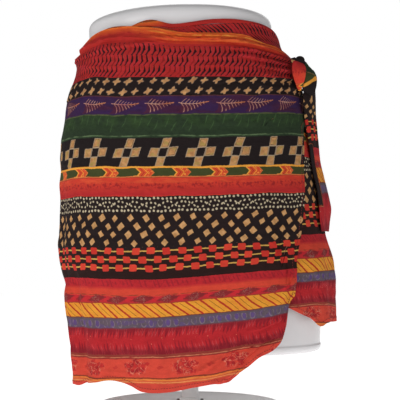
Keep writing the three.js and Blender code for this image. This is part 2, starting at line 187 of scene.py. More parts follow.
SECTION_POWER = 2.25  # 2 would make the horizontal sections ellipses
INNER_END = -30.0  # wrap angle of the cloth's inner end
RIGHT_SEAM = 90.0
LEFT_SEAM = 270.0
OUTER_MIDDLE = 360.0  # wrap angle where s is 0
WAIST_LINE = 478.0  # height of the cloth's waist edge at the middle of the front, where t is 0

FORM_SECTIONS = Table(
    ("height", "left", "right", "front", "back"),
    (
        (490, 130.5, 105.5, 85, 88),
        (473, 130.5, 110.5, 88.5, 91),
        (454, 135, 117.5, 93, 98),
        (432, 141, 126.5, 98, 103),
        (402, 150, 137.5, 104, 110),
        (370, 156.5, 147, 108, 115),
        (337, 161, 153.5, 111, 118),
        (298, 161, 159, 113, 119.5),
        (272, 159.5, 162.5, 114, 119),
        (233, 160.5, 166, 113.5, 117),
        (194, 158, 168.5, 111, 113.5),
        (142, 151.5, 169.5, 106, 108),
        (110, 147, 169, 103, 104),
        (78, 143, 168.5, 101, 102),
    ),
)

# The middle surface of a single layer of cloth.
CLOTH_SECTIONS = Table(
    ("height", "left", "right", "front", "back"),
    (
        (505, 134, 108, 88, 92),
        (473, 140, 115, 93, 95),
        (460, 145.5, 120.5, 97, 99),
        (432, 146.5, 131, 103, 106),
        (402, 157, 141.5, 108.5, 113.5),
        (370, 161.5, 150.5, 112.5, 118.5),
        (337, 166.5, 157.5, 115, 121),
        (298, 165.5, 163, 117, 124),
        (272, 163.5, 167, 118, 124),
        (229, 165, 173.5, 118.5, 123.5),
        (213, 166.5, 177.5, 119, 122.5),
        (194, 164.5, 181.5, 119, 121.5),
        (174, 161, 184, 119, 120.5),
        (142, 157.5, 185.5, 118.5, 119),
        (116, 153, 186.5, 118, 117.5),
        (90, 149, 185, 117, 116),
        (64, 148, 184, 116, 115),
        (20, 146, 183, 115, 114),
    ),
)

# Upper edge of the cloth round the back, and of its outer front.
UPPER_EDGE = Table(
    ("wrap", "height"),
    (
        (90, 463), (112, 465), (135, 469), (180, 471), (225, 466), (255, 457), (270, 452), (286, 454.5),
        (290, 464), (295, 473), (303, 478.5), (314, 482.5), (327, 481.5), (349, 477), (361, 472.5),
        (380, 472), (398, 473), (407, 471.5), (413, 466.5), (418, 463.5), (426, 461.5), (434, 455.5),
        (442, 448),
    ),
)

# The hem rises to a round-cut corner at either end of the cloth.
HEM = Table(
    ("wrap", "height"),
    (
        (-30, 262), (-20, 228), (-5, 200), (15, 172), (33, 150), (47, 137.5), (53, 130), (59, 123),
        (64, 113), (68, 116.5), (80, 116), (90, 115), (104, 112), (120, 109), (138, 98), (156, 92),
        (175, 80), (192, 76), (210, 62), (226, 60), (242, 47), (256, 46), (270, 35), (284, 38),
        (286.5, 37.3), (289, 41), (295, 42.5), (302, 45), (308, 48.5), (313, 47.5), (320, 43),
        (327, 37), (340, 37.5), (354, 43.5), (367, 48), (374, 50), (380, 61), (385, 69), (390, 78.5),
        (396.5, 86), (400, 93), (402, 101), (403.5, 113), (405, 126), (406.5, 143), (409, 152),
    ),
)

# Free edge of the outer front, from the knot down to the round corner.
FREE_EDGE = Table(
    ("height", "wrap"),
    (
        (460, 441), (430, 439), (409, 438.5), (398, 443), (386, 443), (373, 438), (363, 430),
        (345, 427.5), (313, 424.5), (282, 422.5), (232, 417.5), (218, 415.5), (202, 413), (183, 411),
        (165, 410), (150, 409),
    ),
)

# How far the cloth stands off the single layer's surface as it climbs over its own inner end.
OUTER_STEP = Table(
    ("wrap", "step"),
    (
        (270, 0), (296, 0.3), (322, 1), (445, 1),
    ),
)

# Rolled upper edge of the inner front.
WAIST_ROLL = Table(
    ("wrap", "height", "tall", "thick"),
    (
        (-36, 480.5, 3.5, 2.4),
        (-30, 483, 7, 3.6),
        (-24, 484.5, 9, 4.0),
        (-18, 484.3, 8.6, 4.0),
        (-13, 483.2, 6.4, 3.8),
        (-6, 481.4, 5.6, 3.4),
        (3, 482.6, 5.6, 3.4),
        (16, 485.6, 5.6, 3.4),
        (30, 488.4, 5.6, 3.4),
        (45, 489.6, 5.6, 3.4),
        (56, 488.4, 5.6, 3.4),
        (66, 486, 5.6, 3.4),
        (75, 482, 5.6, 3.4),
        (82, 476, 5.2, 3.2),
        (89, 469, 4.4, 3),
    ),
)

# How much further down the cloth a place is than its drop below the waist line says, at six drops.
LIFT_DROPS = np.array([0.0, 60.0, 180.0, 300.0, 345.0, 440.0])
LIFTS = Table(
    ("wrap", "d0", "d60", "d180", "d300", "d345", "d440"),
    (
        (-30, 8, 8, 15, 20, 22, 25),
        (-14, 12, 10, 19, 24, 26, 30),
        (2, 20, 16, 26, 32, 36, 42),
        (24, 27, 24, 38, 44, 50, 58),
        (60, 32, 38, 52, 51, 60, 72),
        (90, 30, 32, 51, 51, 53, 60),
        (135, 15, 25, 44, 47, 50, 57),
        (180, 5, 15, 30, 36, 40, 45),
        (225, -8, 5, 15, 17, 18, 18),
        (270, -26, -2, 0, -2, -4, -6),
        (300, 0, 4, 1, -1.5, -5, -7),
        (320, 4, 1, 0, -2.5, -4, -3),
        (342, 1, 0, 0, -2, -1.7, -2),
        (360, -5, 0, 0, 1, 2, 2),
        (390, -5, 1, 1.5, 6.5, 8, 16),
        (405, -6.5, 3, 3.5, 9, 14, 28),
        (420, -15, 5, 5, 12, 16, 40),
        (443, -28, 5, 5, 12, 16, 40),
    ),
)


@dataclass(frozen=True)
class Fold:
    """A soft ridge (rise above 0) or trough between two heights; spread is half its width in degrees."""

    top_wrap: float
    top_height: float
    low_wrap: float
    low_height: float
    spread: float
    rise: float
    fade: float

    def at(self, wrap: np.ndarray, height: np.ndarray) -> np.ndarray:
        """Rise of this fold at each place."""
        run = (self.top_height - height) / (self.top_height - self.low_height)
        middle = self.top_wrap + (self.low_wrap - self.top_wrap) * run
        beyond = np.maximum(np.maximum(height - self.top_height, self.low_height - height), 0.0)
        return self.rise * bell(wrap - middle, 2 * self.spread) * bell(beyond, self.fade)


FOLDS = tuple(
    Fold(*row)
    for row in (
        # left side of the outer front: long upright folds
        (273, 285, 276, 185, 3.2, 3.2, 25),
        (281, 290, 284, 170, 3, -2, 25),
        (285, 150, 283, 40, 3, 5.5, 30),
        (291, 160, 290, 30, 2.8, -5, 35),
        (299, 130, 303, 30, 4, 3.5, 30),
        (312, 105, 316, 30, 5, -3, 25),
        (330, 95, 333, 30, 6.5, 3.2, 25),
        # lower corner of the outer front, drawn up towards the knot
        (377, 100, 362, 62, 3.5, 3, 18),
        (386, 118, 372, 78, 3.5, -2.2, 18),
        (404, 165, 395, 130, 3, 3, 14),
        (408, 180, 402, 150, 2.2, 2.6, 12),
        # pull of the knot across the upper right of the outer front
        (434, 446, 404, 452, 3.5, 1.6, 10),
        (436, 436, 400, 418, 3.5, 1.8, 10),
        (437, 420, 410, 385, 3.5, 1.6, 12),
        # loose cloth on the left of the waist
        (286, 446, 292, 438, 7, 3, 12),
        # inner front, hanging free at the right
        (66, 190, 68, 110, 4, 3, 30),
        (76, 180, 77, 110, 4, -2.4, 30),
        (86, 190, 88, 110, 4.5, 2.4, 30),
        # back
        (104, 230, 108, 100, 5.5, -3.5, 45),
        (120, 260, 122, 100, 5.5, 4.5, 50),
        (139, 235, 136, 90, 6, -3.5, 45),
        (155, 215, 158, 80, 6, 5, 45),
        (176, 230, 174, 70, 6.5, -3.8, 45),
        (197, 205, 200, 60, 6, 4.6, 45),
        (219, 220, 216, 50, 6, -3.8, 45),
        (236, 200, 238, 45, 5.5, 4.6, 45),
        (254, 190, 256, 40, 5, -3.2, 45),
    )
)


@dataclass(frozen=True)
class Crease:
    """A soft crease from one place on the body to another, with a fainter trough along its lower side.

    Places are (wrap, height). Width is half the crease's width in millimetres, and sag is how far its middle
    hangs below the straight line between its ends.
    """

    start: tuple[float, float]
    end: tuple[float, float]
    width: float
    rise: float
    sag: float = 0.0

    PER_DEGREE = 2.6  # millimetres round the body for each degree of wrap angle
    TROUGH = 0.6  # depth of the trough, as a share of the rise
    TROUGH_OFF, TROUGH_WIDE = 1.5, 1.3  # its place and its width, as shares of the crease's width
    TIP, RUN = 0.06, 0.88  # how the rise swells from either end

    def at(self, wrap: np.ndarray, height: np.ndarray) -> np.ndarray:
        """Rise of this crease at each place."""
        run_x = (self.end[0] - self.start[0]) * self.PER_DEGREE
        run_z = self.end[1] - self.start[1]
        length = math.hypot(run_x, run_z)
        x = (wrap - self.start[0]) * self.PER_DEGREE
        z = height - self.start[1]
        along = (x * run_x + z * run_z) / length**2
        inside = np.clip(along, 0.0, 1.0)
        off = (z * run_x - x * run_z) / length + self.sag * 4 * inside * (1 - inside)
        beyond = np.abs(along - inside) * length
        swell = np.sqrt(np.sin(np.pi * np.clip(self.TIP + self.RUN * along, 0.0, 1.0)))
        ridge = bell(np.hypot(off, beyond), self.width)
        lower = off + math.copysign(self.TROUGH_OFF * self.width, run_x)
        trough = bell(np.hypot(lower, beyond), self.TROUGH_WIDE * self.width)
        return self.rise * swell * (ridge - self.TROUGH * trough)


CREASES = tuple(
    Crease(*row)
    for row in (
        # waist of the outer front: long drag folds that run towards the knot
        ((276, 452), (322, 470), 3, 3, -3),
        ((280, 446), (350, 461), 2.6, 2.5, -2),
        ((300, 470), (372, 466), 2.3, 2.3, 2),
        ((335, 476), (398, 470), 2.3, 2.4, 2),
        ((345, 467), (404, 465), 2, 2, 1),
        ((378, 466), (430, 452), 2.7, 3.6, -3),
        ((392, 455), (436, 444), 2.5, 3.3, -2),
        ((398, 446), (438, 439), 2.3, 3.1, 1),
        ((404, 436), (438, 432), 2.5, 2.9, 2),
        ((408, 424), (437, 424), 2.5, 2.4, 3),
        ((404, 410), (436, 414), 2.9, 2.1, 4),
        # small tucks across the herringbone and the black band under it
        ((288, 440), (318, 431), 2.4, 1.4, 2),
        ((286, 424), (312, 417), 2.6, 1.4, -2),
        ((322, 436), (352, 441), 2, 1.2, -1),
        ((355, 399), (375, 402), 2.2, 1.9, 1),
        ((380, 409), (398, 416), 2.4, 2, -1),
        ((366, 431), (392, 436), 2, 1.2, 2),
        ((276, 398), (296, 410), 2.8, 1.4, 2),
        # middle of the outer front: faint slack
        ((300, 372), (342, 366), 4, 0.9, 4),
        ((352, 352), (402, 360), 4, 0.8, -4),
        ((282, 318), (318, 309), 4, 0.9, 4),
        ((340, 286), (372, 280), 4.2, 0.8, 5),
        ((376, 262), (412, 272), 3.6, 1, -5),
        ((290, 240), (326, 231), 4, 1, 4),
        ((388, 232), (416, 240), 3.2, 1, 2),
        # lower right of the outer front: folds that run down from its free edge to the hem
        ((398, 204), (411, 216), 2.6, 1.6, 2),
        ((402, 160), (409, 180), 2.4, 1.8, -2),
        ((373, 91), (399, 105), 2.6, 3, 3),
        ((355, 61), (374, 90), 2.8, 3, 3),
        ((375, 63), (398, 106), 2.5, 2.6, -3),
        ((364, 47), (379, 63), 2.4, 2.1, 1),
        ((384, 110), (404, 128), 2.4, 2.1, 2),
        ((340, 96), (372, 103), 3.6, 1, 3),
        ((300, 92), (332, 84), 4, 1, 3),
        # lower left corner of the outer front
        ((282, 172), (284.5, 52), 2.4, 2.8, 2),
        ((287, 58), (306, 54), 2.2, 1.7, -2),
        ((292, 68), (318, 58), 2.6, 1.5, 3),
        ((316, 52), (324, 76), 2.8, 1.5, 2),
        # inner front
        ((62, 420), (86, 432), 2.6, 1.2, 2),
        ((58, 396), (84, 402), 3, 1, 2),
        ((60, 300), (64, 230), 3, 1.3, 3),
        ((72, 280), (76, 205), 3.4, 1.3, -3),
        ((84, 250), (86, 150), 3.4, 1.4, 3),
        ((58, 190), (74, 160), 3, 1.3, 3),
        ((60, 150), (82, 136), 2.8, 1.2, 3),
        # back
        ((96, 456), (150, 462), 2.8, 1.2, 3),
        ((104, 446), (178, 456), 3, 1.3, 4),
        ((140, 440), (214, 446), 2.8, 1.1, 3),
        ((186, 458), (252, 446), 2.8, 1.3, 3),
        ((206, 436), (266, 430), 3, 1.2, 3),
        ((98, 420), (132, 412), 3, 1.2, 3),
        ((158, 396), (206, 402), 3.4, 0.9, 4),
        ((112, 350), (148, 338), 4, 1, 5),
        ((188, 332), (240, 340), 4, 0.9, -5),
        ((128, 282), (160, 270), 4, 1, 4),
        ((210, 276), (250, 262), 4, 1.1, 4),
        ((150, 232), (192, 240), 4, 0.9, 4),
        ((114, 150), (146, 136), 3.4, 1.4, 4),
        ((180, 120), (214, 108), 3.4, 1.4, 4),
        ((226, 92), (258, 84), 3.4, 1.4, 3),
    )
)


# ---------------------------------------------------------------- surfaces of the body and of the cloth


def section_point(
    sections: Table, wrap: np.ndarray, height: np.ndarray, offset: np.ndarray | float = 0.0
) -> np.ndarray:
    """Find points on a body that is given by horizontal sections.

    Args:
        sections: How far the body reaches to each side at each height.
        wrap: Wrap angles of the points.
        height: Heights of the points.
        offset: How far the points stand off the body, along the ray from the section's centre.

    Returns:
        The points, with x, y and z in the last axis.
    """
    across, forward = np.sin(np.radians(wrap)), np.cos(np.radians(wrap))
    left, right = sections.at(height, "left"), sections.at(height, "right")
    half_depth = np.where(forward > 0, sections.at(height, "front"), sections.at(height, "back"))
    sideways = np.abs(across / ((left + right) / 2)) ** SECTION_POWER
    ratio = sideways + np.abs(forward / half_depth) ** SECTION_POWER
    reach = ratio ** (-1 / SECTION_POWER) + offset
    return np.stack([(right - left) / 2 + reach * across, -reach * forward, height + 0 * reach], axis=-1)


class ClothSurface:
    """The middle surface of the wrapped cloth, and where each place on it lies on the flat cloth."""

    LAYER_STEP = 3.6  # from the inner front's middle surface to the outer front's
    KNOT_WRAP, KNOT_HEIGHT = 446.0, 432.0
    KNOT_OUT, KNOT_DEGREES, KNOT_TALL = 7.0, 26.0, 46.0  # how far the knot pulls, and over what area
    SLACK_RISE, CRUMPLE_RISE, FLUTE_RISE = 0.35, 0.14, 0.55
    WAIST_FROM, WAIST_TO, WAIST_EXTRA = 380.0, 450.0, 0.8  # the cloth gets rougher between these heights
    HEM_REACH = 90.0  # how high above the hem its flutes fade out
    ARC_STEP = 10.0
    ARC_HEIGHTS = np.arange(20.0, 521.0, ARC_STEP)
    ARC_WRAPS = np.arange(-44.0, 452.0, 1.0)
    INSIDE = 1.001  # keeps a place just inside the last cell

    def __init__(self) -> None:
        """Set up the fine unevenness of the cloth."""
        self.slack = Unevenness(11, (34.0, 12.0))
        self.crumple = Unevenness(23, (11.0, 7.0))
        self.flute = Unevenness(37, (13.0, 70.0))

    def knot_pull(self, wrap: np.ndarray, height: np.ndarray) -> np.ndarray:
        """How far the knot holds the outer front's upper corner off the body."""
        near = bell(np.minimum(wrap - self.KNOT_WRAP, 0.0), self.KNOT_DEGREES)
        return self.KNOT_OUT * near * bell(height - self.KNOT_HEIGHT, self.KNOT_TALL)

    def main_stand(self, wrap: np.ndarray, height: np.ndarray) -> np.ndarray:
        """How far the cloth stands off the single layer's surface, without its fine creases."""
        over = self.LAYER_STEP * OUTER_STEP.at(wrap, "step") + self.knot_pull(wrap, height)
        return np.where(wrap > LEFT_SEAM, over, 0.0) + sum(fold.at(wrap, height) for fold in FOLDS)

    def fine_stand(self, wrap: np.ndarray, height: np.ndarray) -> np.ndarray:
        """The fine creases and the unevenness of the cloth."""
        x = wrap * Crease.PER_DEGREE
        waist = ease(height, self.WAIST_FROM, self.WAIST_TO)
        hem = ease(HEM.at(wrap, "height") + self.HEM_REACH - height, 0.0, self.HEM_REACH)
        rough = self.SLACK_RISE * (1 + self.WAIST_EXTRA * waist) * self.slack.at(x, height)
        rough = rough + self.CRUMPLE_RISE * self.crumple.at(x, height)
        rough = rough + self.FLUTE_RISE * hem * self.flute.at(x, height)
        return rough + sum(crease.at(wrap, height) for crease in CREASES)

    def point(self, wrap: np.ndarray, height: np.ndarray, fine: bool = True) -> np.ndarray:
        """Find points on the cloth.

        Args:
            wrap: Wrap angles of the points.
            height: Heights of the points.
            fine: Whether the fine creases are on it.

        Returns:
            The points, with x, y and z in the last axis.
        """
        stand = self.main_stand(wrap, height)
        if fine:
            stand = stand + self.fine_stand(wrap, height)
        return section_point(CLOTH_SECTIONS, wrap, height, stand)

    @cached_property
    def arcs(self) -> np.ndarray:
        """Length along the cloth at each of ARC_HEIGHTS and ARC_WRAPS."""
        height, wrap = np.meshgrid(self.ARC_HEIGHTS, self.ARC_WRAPS, indexing="ij")
        points = self.point(wrap, height, fine=False)
        steps = np.linalg.norm(np.diff(points, axis=1), axis=2)
        length = np.concatenate([np.zeros((len(self.ARC_HEIGHTS), 1)), np.cumsum(steps, axis=1)], axis=1)
        middle = int(np.argmin(np.abs(self.ARC_WRAPS - OUTER_MIDDLE)))
        return length - length[:, middle : middle + 1]

    def place(self, wrap: np.ndarray, height: np.ndarray) -> np.ndarray:
        """Find where points of the wrapped cloth lie on the flat cloth.

        Args:
            wrap: Wrap angles of the points.
            height: Heights of the points.

        Returns:
            Their s and t in millimetres, in the last axis.
        """
        row = np.clip((height - self.ARC_HEIGHTS[0]) / self.ARC_STEP, 0, len(self.ARC_HEIGHTS) - self.INSIDE)
        column = np.clip(wrap - self.ARC_WRAPS[0], 0, len(self.ARC_WRAPS) - self.INSIDE)
        i, j = row.astype(int), column.astype(int)
        u, v = row - i, column - j
        s = (self.arcs[i, j] * (1 - v) + self.arcs[i, j + 1] * v) * (1 - u)
        s = s + (self.arcs[i + 1, j] * (1 - v) + self.arcs[i + 1, j + 1] * v) * u
        drop = WAIST_LINE - height
        lifts = np.stack([LIFTS.at(wrap, name) for name in LIFTS.columns[1:]])
        own = np.indices(wrap.shape)
        lift = smooth_along(LIFT_DROPS, lambda k: lifts[(k, *own)], drop)
        return np.stack([s, drop + lift], axis=-1)


# ---------------------------------------------------------------- shader nodes

Number = "Wire | float"
MIX_FIRST, MIX_SECOND, MIX_RESULT = 6, 7, 2  # the sockets of a Mix node that mixes colours


def linear(colour: Colour) -> tuple[float, float, float, float]:
    """Turn an sRGB colour of 0 to 255 into linear red, green, blue and alpha."""
    parts = [c / 255 for c in colour]
    return (*(c / 12.92 if c <= 0.04045 else ((c + 0.055) / 1.055) ** 2.4 for c in parts), 1.0)


class Wire:
    """A number in a node tree. Sums, products and the like make the nodes that work them out."""

    def __init__(self, tree: NodeTree, socket: NodeSocket) -> None:
        """Keep the tree and the socket that gives the number."""
        self.tree = tree
        self.socket = socket

    def maths(self, operation: str, *others: Number, clamp: bool = False) -> Wire:
        """Add a Math node.

        Args:
            operation: What it does.
            others: Its further inputs, wires or plain numbers.
            clamp: Whether the result is held between 0 and 1.

        Returns:
            The result.
        """
        node = self.tree.nodes.new("ShaderNodeMath")
        node.operation = operation
        node.use_clamp = clamp
        for socket, value in zip(node.inputs, (self, *others)):
            if isinstance(value, Wire):
                self.tree.links.new(value.socket, socket)
            else:
                socket.default_value = value
        return Wire(self.tree, node.outputs[0])

    def __add__(self, other: Number) -> Wire:
        """Add."""
        return self.maths("ADD", other)

    def __sub__(self, other: Number) -> Wire:
        """Subtract."""
        return self.maths("SUBTRACT", other)

    def __rsub__(self, other: float) -> Wire:
        """Subtract from a plain number."""
        return self.maths("MULTIPLY_ADD", -1.0, other)

    def __mul__(self, other: Number) -> Wire:
        """Multiply."""
        return self.maths("MULTIPLY", other)

    def __abs__(self) -> Wire:
        """Drop the sign."""
        return self.maths("ABSOLUTE")

    def scaled(self, factor: Number, extra: Number) -> Wire:
        """Multiply and add in one node."""
        return self.maths("MULTIPLY_ADD", factor, extra)

    def spread(self, width: float) -> Wire:
        """Turn a number from 0 to 1 into a shift of up to half the width either way."""
        return self.scaled(width, -width / 2)

    def least(self, other: Number) -> Wire:
        """The smaller of two."""
        return self.maths("MINIMUM", other)

    def most(self, other: Number) -> Wire:
        """The larger of two."""
        return self.maths("MAXIMUM", other)

    def under(self, limit: float, soft: float = 0.4) -> Wire:
        """1 where the number is under the limit, with a soft edge."""
        return self.maths("MULTIPLY_ADD", -1 / soft, limit / soft + 0.5, clamp=True)

    def over(self, limit: float, soft: float = 0.4) -> Wire:
        """1 where the number is over the limit, with a soft edge."""
        return self.maths("MULTIPLY_ADD", 1 / soft, 0.5 - limit / soft, clamp=True)

    def between(self, low: float, high: float, soft: float = 0.4) -> Wire:
        """1 where the number is between two limits, with soft edges."""
        return abs(self - (low + high) / 2).under((high - low) / 2, soft)

    def ramp(self, start: float, end: float) -> Wire:
        """Rise evenly from 0 at start to 1 at end."""
        span = end - start
        return self.maths("MULTIPLY_ADD", 1 / span, -start / span, clamp=True)

    def wrapped(self, pitch: float) -> Wire:
        """Distance to the nearest whole number of pitches, with its sign."""
        return self.maths("WRAP", pitch / 2, -pitch / 2)

    def cell(self, pitch: float) -> Wire:
        """Number of the nearest whole pitch."""
        return self.scaled(1 / pitch, 0.5).maths("FLOOR")

    def dice(self, row: Number, seed: float) -> Wire:
        """A random number from 0 to 1 for each pair of cell numbers."""
        node = self.tree.nodes.new("ShaderNodeTexWhiteNoise")
        node.noise_dimensions = "1D"
        row = row.scaled(97.0, seed * 101.0) if isinstance(row, Wire) else row * 97.0 + seed * 101.0
        self.tree.links.new((self + row).socket, node.inputs["W"])
        return Wire(self.tree, node.outputs["Value"])


def join(x: Wire, y: Wire) -> NodeSocket:
    """Put two numbers into a vector."""
    node = x.tree.nodes.new("ShaderNodeCombineXYZ")
    x.tree.links.new(x.socket, node.inputs["X"])
    x.tree.links.new(y.socket, node.inputs["Y"])
    return node.outputs[0]


def distance(u: Wire, v: Wire) -> Wire:
    """Distance from the middle of a motif."""
    return (u * u + v * v).maths("SQRT")


def noise(place: NodeSocket, scale: float, detail: float = 1.0) -> Node:
    """Add a noise texture.

    Args:
        place: Where it is read.
        scale: Its scale.
        detail: How many finer noises lie on the first.

    Returns:
        The texture's node, with outputs for one number and for three.
    """
    tree = place.id_data
    node = tree.nodes.new("ShaderNodeTexNoise")
    node.noise_dimensions = "3D"
    set_inputs(node, {"Scale": scale, "Detail": detail})
    tree.links.new(place, node.inputs["Vector"])
    return node


def set_inputs(node: Node, values: dict[str, float | Sequence[float]]) -> None:
    """Set plain values of a node's inputs by their names."""
    for name, value in values.items():
        node.inputs[name].default_value = value


def new_group(
    name: str, output: str, kind: str
) -> tuple[NodeTree, Node, Node]:
    """Make an empty node group with one input, the place.

    Args:
        name: Its name.
        output: Name of its output.
        kind: Socket type of its output.

    Returns:
        The group, its input node and its output node.
    """
    tree = bpy.data.node_groups.new(name, "ShaderNodeTree")
    tree.interface.new_socket("Place", in_out="INPUT", socket_type="NodeSocketVector")
    tree.interface.new_socket(output, in_out="OUTPUT", socket_type=kind)
    return tree, tree.nodes.new("NodeGroupInput"), tree.nodes.new("NodeGroupOutput")


def use_group(
    tree: NodeTree, group: NodeTree, place: NodeSocket
) -> NodeSocket:
    """Put a node group into a tree, feed it the place and give its output."""
    node = tree.nodes.new("ShaderNodeGroup")
    node.node_tree = group
    tree.links.new(place, node.inputs["Place"])
    return node.outputs[0]


def mixed(
    tree: NodeTree,
    share: NodeSocket | float,
    first: NodeSocket | Colour,
    second: NodeSocket | Colour,
) -> NodeSocket:
    """Mix two colours.

    Args:
        tree: The node tree.
        share: How much of the second one shows, from 0 to 1.
        first: The colour where the share is 0.
        second: The colour where the share is 1.

    Returns:
        The mixed colour.
    """
    node = tree.nodes.new("ShaderNodeMix")
    node.data_type = "RGBA"
    sockets = (node.inputs["Factor"], node.inputs[MIX_FIRST], node.inputs[MIX_SECOND])
    for socket, value in zip(sockets, (share, first, second)):
        if isinstance(value, NodeSocket):
            tree.links.new(value, socket)
        else:
            socket.default_value = linear(value) if isinstance(value, tuple) else value
    return node.outputs[MIX_RESULT]


def bumped(
    tree: NodeTree,
    height: NodeSocket,
    depth: float,
    strength: float = 1.0,
    under: NodeSocket | None = None,
) -> NodeSocket:
    """Turn a height into a bumped normal.

    Args:
        tree: The node tree.
        height: The height.
        depth: How deep it is, in metres.
        strength: How much of it shows.
        under: The normal that it lies on, if that isn't the plain one.

    Returns:
        The normal.
    """
    node = tree.nodes.new("ShaderNodeBump")
    set_inputs(node, {"Strength": strength, "Distance": depth})
    tree.links.new(height, node.inputs["Height"])
    if under is not None:
        tree.links.new(under, node.inputs["Normal"])
    return node.outputs["Normal"]


def split_place(tree: NodeTree, place: NodeSocket) -> tuple[Wire, Wire]:
    """Read s and t in millimetres from a place on the cloth in metres."""
    scaled = tree.nodes.new("ShaderNodeVectorMath")
    scaled.operation = "SCALE"
    scaled.inputs["Scale"].default_value = 1 / MM
    tree.links.new(place, scaled.inputs[0])
    parts = tree.nodes.new("ShaderNodeSeparateXYZ")
    tree.links.new(scaled.outputs[0], parts.inputs[0])
    return Wire(tree, parts.outputs[0]), Wire(tree, parts.outputs[1])


# ---------------------------------------------------------------- the print


class Ground(Enum):
    """Plain bands of the print: where each starts down the cloth and its colour."""

    BORDER_ORANGE = (-40, (212, 88, 40))
    BORDER_STREAK = (3.5, (208, 84, 38))
    BORDER_RED = (8.5, (196, 58, 38))
    HERRINGBONE = (16, (176, 42, 40))
    STARS = (61.4, (36, 27, 26))
    FERNS = (84, (58, 35, 70))
    GREEN = (106.7, (44, 58, 40))
    CROSSES = (134, (34, 27, 27))
    OLIVE = (170, (66, 62, 36))
    RED_FADE = (182.2, (206, 62, 46))
    DOTS = (204.2, (38, 28, 28))
    BEADS = (267.5, (44, 26, 24))
    TICKS = (301.5, (186, 42, 48))
    ORANGE_RED = (313.5, (212, 70, 54))
    DARTS = (321, (186, 46, 52))
    SLANTS = (330.5, (230, 148, 52))
    OVALS = (348.5, (98, 84, 94))
    GRASS = (361, (168, 42, 46))
    DARK_LINE = (393, (150, 52, 46))
    FLOWERS = (396.5, (214, 74, 58))
    HEM_LINES = (421, (216, 96, 58))
    HEM = (427, (212, 74, 60))


